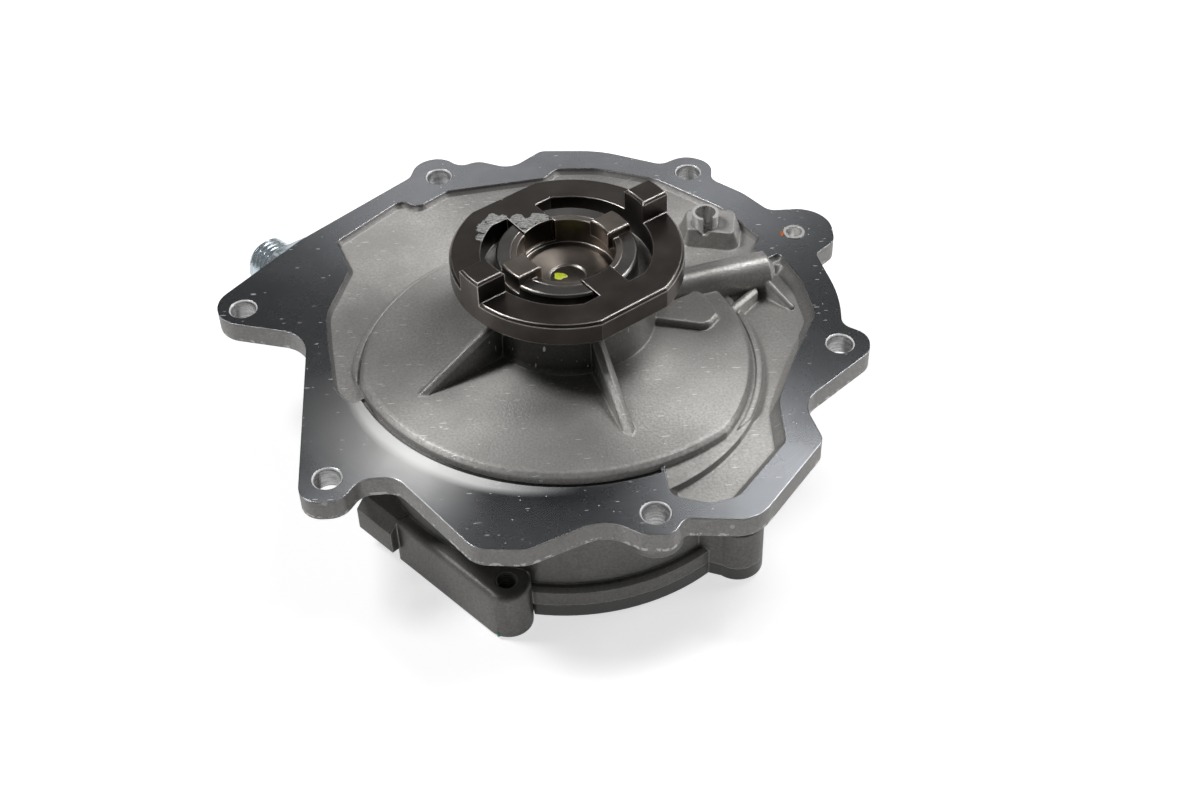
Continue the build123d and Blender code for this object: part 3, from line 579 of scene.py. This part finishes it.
def cast_aluminium():
    material, tree, shader, where = start_finish("cast_aluminium", grey(0.4), 1.0, 0.5)
    at = place_on_housing(tree, where)
    grain, cloud = noise(tree, where, 1500, 3), noise(tree, where, 70, 4, 0.6)
    pits = stretch(tree, cells(tree, where, 620), 0.10, 0.02)
    crisp = rounded_normal(tree, MILLED_ROUNDING)
    drilled, bevelled = hole_walls(tree, at)
    # The lip and the hole bevels are turned metal; their near-white colour is partly a painted
    # highlight.
    lip = times(tree, within(tree, at.radius, LIP_RADII), within(tree, at.z, LIP_HEIGHTS),
                within(tree, at.angle, GROOVE_SECTOR, DEGREE))
    lip = sums(tree, "MAXIMUM", lip, bevelled)
    painted_gleam, painted_crescent = painted_highlight_places(tree, at)
    nicks = nicks_on_face(tree, where)

    skin = cast_skin(tree, at, grain, pits, edge_mask(tree, crisp))
    skin = walls_and_holes(tree, at, skin, drilled, lip)
    face = milled_face(tree, at, cloud, painted_gleam, painted_crescent, nicks)
    feed(tree, shader.inputs["Base Color"], mix(tree, at.milled, skin, face))
    feed(tree, shader.inputs["Metallic"], how_metallic(tree, at, nicks, painted_crescent, lip))
    feed(tree, shader.inputs["Roughness"],
         how_rough(tree, at, grain, cloud, painted_gleam, sums(tree, "MAXIMUM", drilled, lip)))
    shader.inputs["Anisotropic"].default_value = 0.8
    shader.inputs["Anisotropic Rotation"].default_value = 0.25
    feed(tree, shader.inputs["Tangent"], vector_of(tree, times(tree, at.y, -1.0), at.x))

    bumps = times(tree, sums(tree, "MULTIPLY_ADD", pits, -0.6, grain),
                  sums(tree, "SUBTRACT", 1.0, at.milled))
    soft = rounded_normal(tree, CAST_ROUNDING)
    relief(tree, shader, bumps, GRAIN_DEPTH * MM, mix(tree, at.milled, soft, crisp, "VECTOR"))
    return material


finishes = {"cast_aluminium": cast_aluminium()}
print("cast finish nodes:", len(finishes["cast_aluminium"].node_tree.nodes))

# %% [markdown]
# The rear cover is a second casting. It lies in the shade, and its colours are painted
# dark as painted shade. None of its milled faces can be seen, so it gets the same idea
# with far fewer parts: blotches, grain and edges rubbed bright, partly as a painted
# highlight. Its edges are rounded a little less than the housing's.

# %% Plain cast finish for the cover
# Painted shade: the cover's two ground tones are dark for the shade it lies in. Its bright
# edge is partly wear, partly a painted highlight.
COVER_PAINTED_SHADE_PALE, COVER_PAINTED_SHADE_DEEP = (0.085, 0.083, 0.08), (0.055, 0.054, 0.052)
COVER_GRAIN, COVER_EDGE = (0.08, 0.078, 0.075), (0.24, 0.24, 0.23)
COVER_ROUNDING, COVER_GRAIN_DEPTH = 0.8, 0.04


def cast_cover():
    material, tree, shader, where = start_finish("cast_cover", grey(0.3), 0.5, 0.4)
    rounded = rounded_normal(tree, COVER_ROUNDING)
    grain = noise(tree, where, 1300, 3)
    feed(tree, shader.inputs["Base Color"], layered(tree, COVER_PAINTED_SHADE_PALE, [
        (stretch(tree, noise(tree, where, 60, 4), 0.3, 0.7), COVER_PAINTED_SHADE_DEEP),
        (stretch(tree, grain, 0.35, 0.7, 0, 0.5), COVER_GRAIN),
        (edge_mask(tree, rounded), COVER_EDGE),
    ]))
    feed(tree, shader.inputs["Roughness"], stretch(tree, grain, 0.3, 0.7, 0.36, 0.5))
    relief(tree, shader, grain, COVER_GRAIN_DEPTH * MM, rounded)
    return material


finishes["cast_cover"] = cast_cover()
print("cover finish nodes:", len(finishes["cast_cover"].node_tree.nodes))

# %% [markdown]
# ## The coupling
# The disc and the drive end are sintered steel, browned and oily, with edges that
# shine where the film has rubbed off; that shine is partly wear and partly a painted
# highlight. On one side a blow has torn the skin of both and left silver scrapes. They
# could be cut into the mesh, but they are hardly deeper than a scratch, so they are
# painted in by distance: a point close to one of a few centres, with the border
# roughened by noise, is bare metal.

# %% Where the scrapes are
# Each scrape is a circle: x, y and radius in mm. Together they make two ragged shapes.
scrape_spots = [
    (-20.8, 5.6, 1.5), (-20.2, 9.4, 2.1), (-18.3, 12.6, 2.2), (-16.0, 13.2, 1.2),
    (-12.4, 12.8, 1.8), (-9.9, 10.6, 2.1), (-7.4, 12.8, 1.9), (-5.5, 12.8, 1.3),
    (-10.6, 7.2, 1.0), (-16.3, 20.8, 0.5), (-21.6, 18.1, 0.4),
]


def patch(tree, where, centres, ragged):
    """1 near any of the centres (x, y, radius in mm), with a ragged border."""
    x, y, _ = axes(tree, where)
    nearest = None
    for centre_x, centre_y, radius in centres:
        gap = length(tree, sums(tree, "SUBTRACT", x, centre_x * MM),
                     sums(tree, "SUBTRACT", y, centre_y * MM))
        share = sums(tree, "DIVIDE", gap, radius * MM)
        nearest = share if nearest is None else sums(tree, "MINIMUM", nearest, share)
    border = sums(tree, "MULTIPLY_ADD", sums(tree, "SUBTRACT", ragged, 0.5), 1.5, nearest)
    return sums(tree, "LESS_THAN", border, 1.0)


print("scrape spots:", len(scrape_spots))

# %% [markdown]
# Three finishes share this recipe: the disc, the drive end, and the bronze cup inside
# it, which is the same oily metal in a warmer tone and has no scrapes. A cloudy film
# of oil sets the colour and the roughness, and the scrapes get furrows of their own in
# both colour and bump.

# %% Oil-brown steel with silver scrapes
WORN_AND_HIGHLIT_EDGE = (0.85, 0.81, 0.77)
FURROW_DARK, FURROW_BRIGHT = (0.10, 0.10, 0.095), (0.72, 0.72, 0.70)
FURROW_SHAPE = (1, 3.5, 1)
STEEL_ROUNDING, STEEL_DEPTH = 0.55, 0.03
GRAIN_SHARE, FURROW_SHARE = 0.012, 3.0      # parts of that depth


def oiled_steel(name, dark, light, scrapes=()):
    material, tree, shader, where = start_finish(name, dark, 1.0, 0.4)
    rounded = rounded_normal(tree, STEEL_ROUNDING)
    film = noise(tree, where, 120, 4)
    # Edges rubbed bright, partly wear and partly a painted highlight.
    worn_and_highlit_edges = times(tree, edge_mask(tree, rounded),
                 stretch(tree, noise(tree, where, 150, 2), 0.25, 0.45, 0.7, 1.0))
    colour = layered(tree, dark, [(stretch(tree, film, 0.3, 0.7), light), (worn_and_highlit_edges, WORN_AND_HIGHLIT_EDGE)])
    rough = stretch(tree, film, 0.3, 0.7, 0.28, 0.36)
    height = times(tree, noise(tree, where, 1800, 2), GRAIN_SHARE)
    if scrapes:
        ragged = noise(tree, where, 520, 4, 0.65)
        torn = times(tree, patch(tree, where, scrapes, ragged), facing_up(tree))
        furrows = noise(tree, scaled(tree, where, FURROW_SHAPE, -0.9), 1100, 4, 0.75)
        silver = mix(tree, stretch(tree, furrows, 0.35, 0.6), FURROW_DARK, FURROW_BRIGHT)
        colour = mix(tree, torn, colour, silver)
        rough = sums(tree, "MULTIPLY_ADD", torn, 0.12, rough)
        height = sums(tree, "MULTIPLY_ADD", times(tree, torn, furrows), FURROW_SHARE, height)
    feed(tree, shader.inputs["Base Color"], colour)
    feed(tree, shader.inputs["Roughness"], rough)
    relief(tree, shader, height, STEEL_DEPTH * MM, rounded)
    return material


coupling_tones = {
    "oiled_steel": ((0.078, 0.067, 0.061), (0.11, 0.097, 0.09), scrape_spots),
    "dark_steel": ((0.14, 0.133, 0.126), (0.20, 0.19, 0.182), scrape_spots),
    "sintered_bronze": ((0.20, 0.172, 0.15), (0.28, 0.245, 0.215)),
}
for name, tones in coupling_tones.items():
    finishes[name] = oiled_steel(name, *tones)
print("coupling finishes:", sorted(coupling_tones))

# %% [markdown]
# ## Plated, rubber and plastic parts
# Screws and the port stub are zinc plated: bright, faintly blue and a little cloudy.
# The valve and the seals are matt rubber, the vane is a carbon-filled plastic, and
# the small springs are blued steel. One function makes them all, because they differ
# only in colour, metal or not, and how fine the clouding is.

# %% Small parts' finishes
SMALL_ROUNDING = 0.12


def small_part(name, first, second, metallic, rough, scale, depth):
    """Cloudy finish: two colours, metal, roughness, scale of the clouds, grain in mm."""
    material, tree, shader, where = start_finish(name, first, metallic, rough)
    cloud = stretch(tree, noise(tree, where, scale, 4), 0.3, 0.7)
    grain = noise(tree, where, scale * 9, 2)
    darker = tuple(0.6 * value for value in first)
    feed(tree, shader.inputs["Base Color"], layered(tree, first, [
        (cloud, second), (stretch(tree, grain, 0.5, 0.75, 0, 0.35), darker)]))
    feed(tree, shader.inputs["Roughness"],
         stretch(tree, cloud, 0.0, 1.0, rough - 0.06, rough + 0.06))
    relief(tree, shader, grain, depth * MM, rounded_normal(tree, SMALL_ROUNDING))
    return material


small_parts = {
    "zinc_steel": ((0.62, 0.63, 0.64), (0.52, 0.53, 0.55), 1.0, 0.28, 160, 0.01),
    "zinc_fitting": ((0.74, 0.81, 0.85), (0.58, 0.66, 0.71), 0.85, 0.22, 160, 0.01),
    "bright_steel": ((0.80, 0.79, 0.78), (0.66, 0.65, 0.64), 0.6, 0.26, 220, 0.01),
    "spring_steel": ((0.36, 0.37, 0.40), (0.27, 0.28, 0.31), 1.0, 0.32, 220, 0.01),
    "brass_plate": ((0.62, 0.48, 0.24), (0.50, 0.38, 0.18), 1.0, 0.34, 200, 0.02),
    "black_rubber": ((0.030, 0.030, 0.031), (0.045, 0.045, 0.046), 0.0, 0.68, 300, 0.03),
    "seal_fibre": ((0.20, 0.13, 0.09), (0.13, 0.09, 0.06), 0.0, 0.75, 400, 0.05),
    "vane_polymer": ((0.055, 0.055, 0.057), (0.085, 0.084, 0.083), 0.0, 0.48, 350, 0.03),
    "tip_polymer": ((0.040, 0.040, 0.042), (0.060, 0.059, 0.058), 0.0, 0.42, 350, 0.02),
}
for name, recipe in small_parts.items():
    finishes[name] = small_part(name, *recipe)
print("finishes:", len(finishes))

# %% [markdown]
# The CAD record names a material for each node. Putting the finishes on by that list
# keeps the two in step: no node can be forgotten or get the wrong metal. The nodes
# themselves are neither moved nor changed.

# %% Put each finish on its CAD node
slot_of = {row["node"]: row["material_slot"] for row in frame["record"]["subparts"]}
for name, node in frame["nodes"].items():
    finish = finishes[slot_of[name]]
    if not node.material_slots:
        node.data.materials.append(finish)
    for material_slot in node.material_slots:
        material_slot.material = finish
print("dressed:", len(frame["nodes"]), "nodes")

# %% [markdown]
# ## New pieces from bmesh
# A piece is modelled in a bmesh, turned into an object whose origin stays at the
# drive axis, given a finish and tied to the body that carries it. Faces that meet at
# a shallow angle are shaded smooth, so that a turned part looks round.

# %% Helper: finish a bmesh as a piece
SMOOTH_BELOW = math.radians(35)
WELD = 0.001 * MM               # vertices closer than this are merged


def make_piece(name, mesh, body, slot_name, finish=None):
    """Merge, turn outwards and smooth a mesh, and tie it to its body and slot."""
    bmesh.ops.remove_doubles(mesh, verts=mesh.verts, dist=WELD)
    bmesh.ops.recalc_face_normals(mesh, faces=mesh.faces)
    data = bpy.data.meshes.new(name)
    mesh.to_mesh(data)
    mesh.free()
    data.shade_smooth()
    data.set_sharp_from_angle(angle=SMOOTH_BELOW)
    piece = bpy.data.objects.new(name, data)
    bpy.context.scene.collection.objects.link(piece)
    data.materials.append(finish or finishes[slot_name])
    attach(piece, body)
    print(name, len(data.polygons), "faces")
    return piece


print("vertices are merged within", WELD / MM, "mm")

# %% [markdown]
# A round part is made as on a lathe: half of its section is drawn as a closed outline
# and spun once round the axis. It could be put together from cylinders and cones
# instead, but then each step between them would have to be joined by hand.

# %% Helpers: outline and turning
TURNING_STEPS = 72


def closed_outline(mesh, points):
    """Vertices and edges of an outline of (radius, height) in mm, in the XZ plane."""
    verts = [mesh.verts.new((radius * MM, 0, height * MM)) for radius, height in points]
    return verts, [mesh.edges.new(pair) for pair in zip(verts, verts[1:] + verts[:1])]


def turned(mesh, points):
    """Solid of revolution about Z from a closed outline of (radius, height)."""
    verts, edges = closed_outline(mesh, points)
    bmesh.ops.spin(mesh, geom=verts + edges, cent=(0, 0, 0), axis=(0, 0, 1), dvec=(0, 0, 0),
                   angle=math.tau, steps=TURNING_STEPS, use_merge=True)


print("a turned part has", TURNING_STEPS, "steps round")

# %% [markdown]
# ## Screw threads
# A thread is one V-shaped ridge wound round a core. `spin` with a small step along
# the axis does exactly that: it drags the ridge's section round and up at once. One
# turn ends where the next begins, so neighbouring turns meet and are merged when the
# piece is finished. The section is a face, which closes the ridge at its cut end.

# %% Helper: wind a thread ridge
THREAD_STEPS = 36               # per turn


def thread_ridge(mesh, root, crest, pitch, start, turns):
    """V thread on radius root, its crest at radius crest, both in mm, along Z."""
    verts, edges = closed_outline(mesh, [
        (root, start), (crest, start + 0.44 * pitch),
        (crest, start + 0.56 * pitch), (root, start + pitch)])
    face = mesh.faces.new(verts)
    bmesh.ops.spin(mesh, geom=verts + edges + [face], cent=(0, 0, 0), axis=(0, 0, 1),
                   dvec=(0, 0, pitch * MM / THREAD_STEPS), angle=math.tau * turns,
                   steps=int(THREAD_STEPS * turns), use_duplicate=False)


print("a thread has", THREAD_STEPS, "steps per turn")

# %% [markdown]
# ## The port stub
# The vacuum pipe screws onto a zinc-plated stub behind the flange. CAD has it as plain
# cylinders with a plain hexagon. Here it is turned again with a real thread, and its
# collar is cut as real nuts are: a bevelled disc with six flats sliced off, so that
# each corner keeps a curved edge. The parts are made along Z, where they are easy to
# draw, and this cell works out how to lay them along the port's own axis.

# %% The stub's place on the pump
port_angle, port_offset, port_height = math.radians(136.4), -23.2, -15.8
port_out = Vector((math.cos(port_angle), math.sin(port_angle), 0))
port_side = Vector((math.sin(port_angle), -math.cos(port_angle), 0))
port_turn = Matrix((port_side, port_out.cross(port_side), port_out)).transposed().to_4x4()
port_start = (port_side * port_offset + Vector((0, 0, port_height))) * MM
port_place = Matrix.Translation(port_start) @ port_turn
print("port axis starts at", [round(value, 4) for value in port_place.translation])

# %% [markdown]
# The outline of the stub goes up its outside and down its bore. The numbers are
# radius and distance from the drive axis. Inside, it widens in two steps, where the
# valve plate has its seat. The thread's ridge starts a little inside the stub, so that
# no gap can show between the two.

# %% Turn the stub and wind its thread
stub_outline = [
    (5.8, 69), (6.7, 69),                                   # inner end, in the housing
    (6.7, 81.2), (9.8, 81.2), (9.8, 84.6), (6.0, 84.6),     # core of the collar
    (6.0, 86.6), (6.12, 86.7), (6.12, 95.2),                # undercut and thread's core
    (5.5, 96.2), (4.9, 96.2), (4.5, 95.7),                  # bevelled mouth
    (4.5, 76.4), (5.0, 76.4), (5.0, 73.4), (5.8, 73.4),     # bore and its two steps
]
stub_mesh = bmesh.new()
turned(stub_mesh, stub_outline)
thread_ridge(stub_mesh, root=6.05, crest=6.98, pitch=1.5, start=86.6, turns=5.4)
print("stub and thread:", len(stub_mesh.faces), "faces")

# %% [markdown]
# The collar is turned as a disc with bevelled rims. Each flat is then one straight
# cut: `bisect_plane` slices the disc and clears what lies outside, and the open cut
# is filled with a face. Both shapes are joined in one mesh, laid along the port's
# axis, and the piece takes the place of the CAD node.

# %% Cut the hexagon collar and place the fitting
collar_outline = [(6.4, 81.02), (11.6, 81.02), (12.1, 81.6), (12.1, 84.3), (11.6, 84.88),
                  (6.4, 84.88)]
COLLAR_HALF_FLATS, COLLAR_TURN = 10.5, -20


def hexagon_collar():
    ring = bmesh.new()
    turned(ring, collar_outline)
    for side in range(6):
        turn = math.radians(60 * side + COLLAR_TURN)
        out = Vector((math.cos(turn), math.sin(turn), 0))
        parts = ring.verts[:] + ring.edges[:] + ring.faces[:]
        cut = bmesh.ops.bisect_plane(ring, geom=parts, dist=WELD, plane_no=out,
                                     plane_co=out * COLLAR_HALF_FLATS * MM, clear_outer=True)
        rim = [item for item in cut["geom_cut"] if isinstance(item, bmesh.types.BMEdge)]
        bmesh.ops.contextual_create(ring, geom=rim)
    return ring


collar_mesh = hexagon_collar()
collar_shape = bpy.data.meshes.new("collar_shape")
collar_mesh.to_mesh(collar_shape)
collar_mesh.free()
stub_mesh.from_mesh(collar_shape)
bpy.data.meshes.remove(collar_shape)
bmesh.ops.transform(stub_mesh, matrix=port_place, verts=stub_mesh.verts)
port_fitting = make_piece("threaded_port_fitting", stub_mesh, "pump_body", "zinc_fitting")
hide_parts("port_fitting")

# %% [markdown]
# The round boss at the front has a screw thread in its hole. Seen from above only
# the first turns catch light, so a short ridge on the inside of the bore is enough.
# An inside thread is the same ridge with its crest nearer to the axis than its root.

# %% Thread in the front boss
boss_x, boss_y = -16.4, -66.5
boss_thread = bmesh.new()
thread_ridge(boss_thread, root=2.56, crest=2.12, pitch=0.8, start=-29.2, turns=8.6)
bmesh.ops.transform(boss_thread, matrix=Matrix.Translation((boss_x * MM, boss_y * MM, 0)),
                    verts=boss_thread.verts)
make_piece("front_boss_thread", boss_thread, "pump_body", "cast_aluminium")

# %% [markdown]
# ## Paint marks
# A fitter has dabbed paint on three places: yellow-green in the floor of the drive
# cup, orange on the rim of the right-hand ear's hole and green under the front boss.
# Paint sets in blots with uneven borders and a slight dome, so each dab is a circle
# whose rim is pushed in and out by two waves, and which is inset twice while its
# middle is lifted. A flat spot in the material would have no thickness.

# %% Helpers: paint and dabs
DAB_INSETS = (0.16, 0.3)        # parts of the dab's smaller size


def paint(name, colour, second):
    material, tree, shader, where = start_finish(name, colour, 0.0, 0.35)
    clouds = stretch(tree, noise(tree, where, 900, 3), 0.4, 0.65)
    feed(tree, shader.inputs["Base Color"], mix(tree, clouds, colour, second))
    relief(tree, shader, noise(tree, where, 1200, 2), 0.02 * MM)
    return material


def dab(place, size, height, seed, tilt=None):
    """Thin domed blot: place and size in mm, its outline roughened by two waves."""
    mesh = bmesh.new()
    blot = bmesh.ops.create_circle(mesh, cap_ends=True, radius=1.0, segments=28)
    for vert in blot["verts"]:
        angle = math.atan2(vert.co.y, vert.co.x)
        wave = 1 + 0.13 * math.sin(3 * angle + seed) + 0.08 * math.sin(5 * angle + 2 * seed)
        vert.co = (vert.co.x * wave * size[0] * MM, vert.co.y * wave * size[1] * MM, 0)
    for share in DAB_INSETS:
        top = [face for face in mesh.faces if len(face.verts) > 4]
        bmesh.ops.inset_region(mesh, faces=top, thickness=share * min(size) * MM,
                               depth=0.5 * height * MM, use_boundary=True)
    bmesh.ops.contextual_create(mesh, geom=[edge for edge in mesh.edges if edge.is_boundary])
    matrix = Matrix.Translation(Vector(place) * MM) @ (tilt or Matrix.Identity(4))
    bmesh.ops.transform(mesh, matrix=matrix, verts=mesh.verts)
    return mesh


print("paint and dab helpers ready")

# %% [markdown]
# Two dabs lie flat, one on the cup's floor and one on the milled face. The third sits
# on the round side of the front boss, so it is tilted until it faces outwards from the
# boss's axis. Each rides on the body that it was painted on: the one in the cup turns
# with the rotor.

# %% Three dabs of paint
for name, colours in {
    "yellow_paint": ((0.52, 0.62, 0.02), (0.68, 0.74, 0.10)),
    "orange_paint": ((0.55, 0.16, 0.02), (0.40, 0.10, 0.02)),
    "green_paint": ((0.02, 0.22, 0.12), (0.05, 0.32, 0.18)),
}.items():
    finishes[name] = paint(name, *colours)

CUP_FLOOR, BOSS_DAB_HEIGHT, BOSS_RADIUS, BOSS_DAB_HEADING = 15.01, -35.6, 5.74, 243
cup_dab = dab((-1.9, 0.5, CUP_FLOOR), size=(1.6, 1.3), height=0.16, seed=1.3)
make_piece("paint_dab_cup", cup_dab, "rotor_body", "sintered_bronze", finishes["yellow_paint"])
ear_dab = dab((57.1, 33.6, 0.01), size=(0.5, 1.1), height=0.1, seed=0.4)
make_piece("paint_dab_ear", ear_dab, "pump_body", "cast_aluminium", finishes["orange_paint"])

heading = math.radians(BOSS_DAB_HEADING)
boss_out = Vector((math.cos(heading), math.sin(heading), 0))
boss_foot = Vector((boss_x, boss_y, BOSS_DAB_HEIGHT)) + boss_out * BOSS_RADIUS
boss_tilt = boss_out.to_track_quat("Z", "Y").to_matrix().to_4x4()
boss_dab = dab(boss_foot, size=(0.5, 0.9), height=0.24, seed=2.1, tilt=boss_tilt)
make_piece("paint_dab_boss", boss_dab, "pump_body", "cast_aluminium", finishes["green_paint"])

# %% [markdown]
# ## Floor, lamps and camera
# The pump lies on a white table that fades into a white background. The floor is white
# paint that also glows for the camera and for mirrored and clear views of it, so the
# background turns plain white. Dull surfaces get no light from the glow, and the soft
# shadow under the pump stays. Brighter lamps would whiten the floor too, but wash out
# the metal.

# %% White floor
FLOOR_GAP, FLOOR_HALF_SIDE = 0.05, 3.0      # in mm and in metres
FLOOR_WHITE, FLOOR_GLOW = 0.68, 0.66

lowest = cad_box[0][2]
floor_mesh = bmesh.new()
bmesh.ops.create_grid(floor_mesh, x_segments=8, y_segments=8, size=FLOOR_HALF_SIDE)
bmesh.ops.translate(floor_mesh, vec=(0, 0, lowest - FLOOR_GAP * MM), verts=floor_mesh.verts)
floor_data = bpy.data.meshes.new("floor")
floor_mesh.to_mesh(floor_data)
floor_mesh.free()
floor = bpy.data.objects.new("floor", floor_data)
bpy.context.scene.collection.objects.link(floor)
white, tree, shader, _ = start_finish("white_floor", grey(FLOOR_WHITE), 0.0, 0.9)
path = tree.nodes.new("ShaderNodeLightPath")
shader.inputs["Emission Color"].default_value = (1, 1, 1, 1)
seen = sums(tree, "MAXIMUM", path.outputs["Is Camera Ray"], path.outputs["Is Glossy Ray"])
seen = sums(tree, "MAXIMUM", seen, path.outputs["Is Transmission Ray"])
feed(tree, shader.inputs["Emission Strength"], times(tree, seen, FLOOR_GLOW))
floor_data.materials.append(white)
print("floor at", round(lowest / MM, 2), "mm")

# %% [markdown]
# Flat metal shows what is round it, so each lamp is a soft panel, placed where the
# photograph's highlights ask for it: three on the right, two on the left, and a weak
# one in front and behind. Small bare lamps would give hard dots on the milled face. A
# faint grey world keeps what no panel reaches from going black.

# %% Lamps
# name, azimuth from +Y towards +X and elevation in degrees, width and height in m, watts
lamps = [
    ("right_high_panel", 48, 62, 0.36, 0.36, 3.6),
    ("right_panel", 60, 50, 0.36, 0.36, 3.3),
    ("right_low_panel", 80, 30, 0.36, 0.36, 1.9),
    ("left_panel", -80, 57, 0.30, 0.30, 6.8),
    ("left_low_panel", -95, 30, 0.36, 0.36, 0.4),
    ("far_panel", 0, 29, 0.5, 0.36, 0.5),
    ("near_panel", 180, 28, 0.5, 0.36, 0.15),
]
LAMP_DISTANCE = 1.2
WORLD_GREY = 0.028


def softbox(name, azimuth, elevation, width, height, power):
    """Area lamp that looks at the drive axis where it crosses the milled face."""
    lamp = bpy.data.lights.new(name, "AREA")
    lamp.shape = "RECTANGLE"
    lamp.size, lamp.size_y, lamp.energy = width, height, power
    item = bpy.data.objects.new(name, lamp)
    turn, rise = math.radians(azimuth), math.radians(elevation)
    away = Vector((math.sin(turn) * math.cos(rise), math.cos(turn) * math.cos(rise),
                   math.sin(rise)))
    item.location = away * LAMP_DISTANCE
    item.rotation_euler = away.to_track_quat("Z", "Y").to_euler()
    bpy.context.scene.collection.objects.link(item)


for lamp_row in lamps:
    softbox(*lamp_row)
world = bpy.data.worlds.new("studio")
world.use_nodes = True
world.node_tree.nodes["Background"].inputs["Color"].default_value = (*grey(WORLD_GREY), 1)
bpy.context.scene.world = world
bpy.context.scene.view_settings.view_transform = "Standard"

# %% [markdown]
# The camera stands where the photograph was taken from: 437 mm from the point it aims
# at, with a 54 mm lens, looking down at 43.5 degrees and rolled by not quite 2 degrees.
# The place was worked out from the ellipses that round parts show in the photograph,
# which is surer than turning the view by hand until it looks right.

# %% Camera
LENS, SENSOR_WIDTH, CLIP_START = 54.0, 36.0, 0.01   # in mm, in mm and in metres
LOOKING_DOWN, ROLL, DISTANCE = 43.53, -1.83, 436.85     # in degrees and in mm
aim = Vector((7.0, -28.9, 0)) * MM

camera_data = bpy.data.cameras.new("camera")
camera_data.lens = LENS
camera_data.sensor_width = SENSOR_WIDTH
camera_data.clip_start = CLIP_START
camera = bpy.data.objects.new("camera", camera_data)
bpy.context.scene.collection.objects.link(camera)
pitch, roll = math.radians(LOOKING_DOWN), math.radians(ROLL)
look = Vector((0, math.cos(pitch), -math.sin(pitch)))
lower_view = Matrix.Rotation(math.pi / 2 - pitch, 4, "X")
stand = Matrix.Translation(aim - look * DISTANCE * MM)
camera.matrix_world = stand @ lower_view @ Matrix.Rotation(roll, 4, "Z")
bpy.context.scene.camera = camera
print("camera at", [round(value / MM, 1) for value in camera.location])
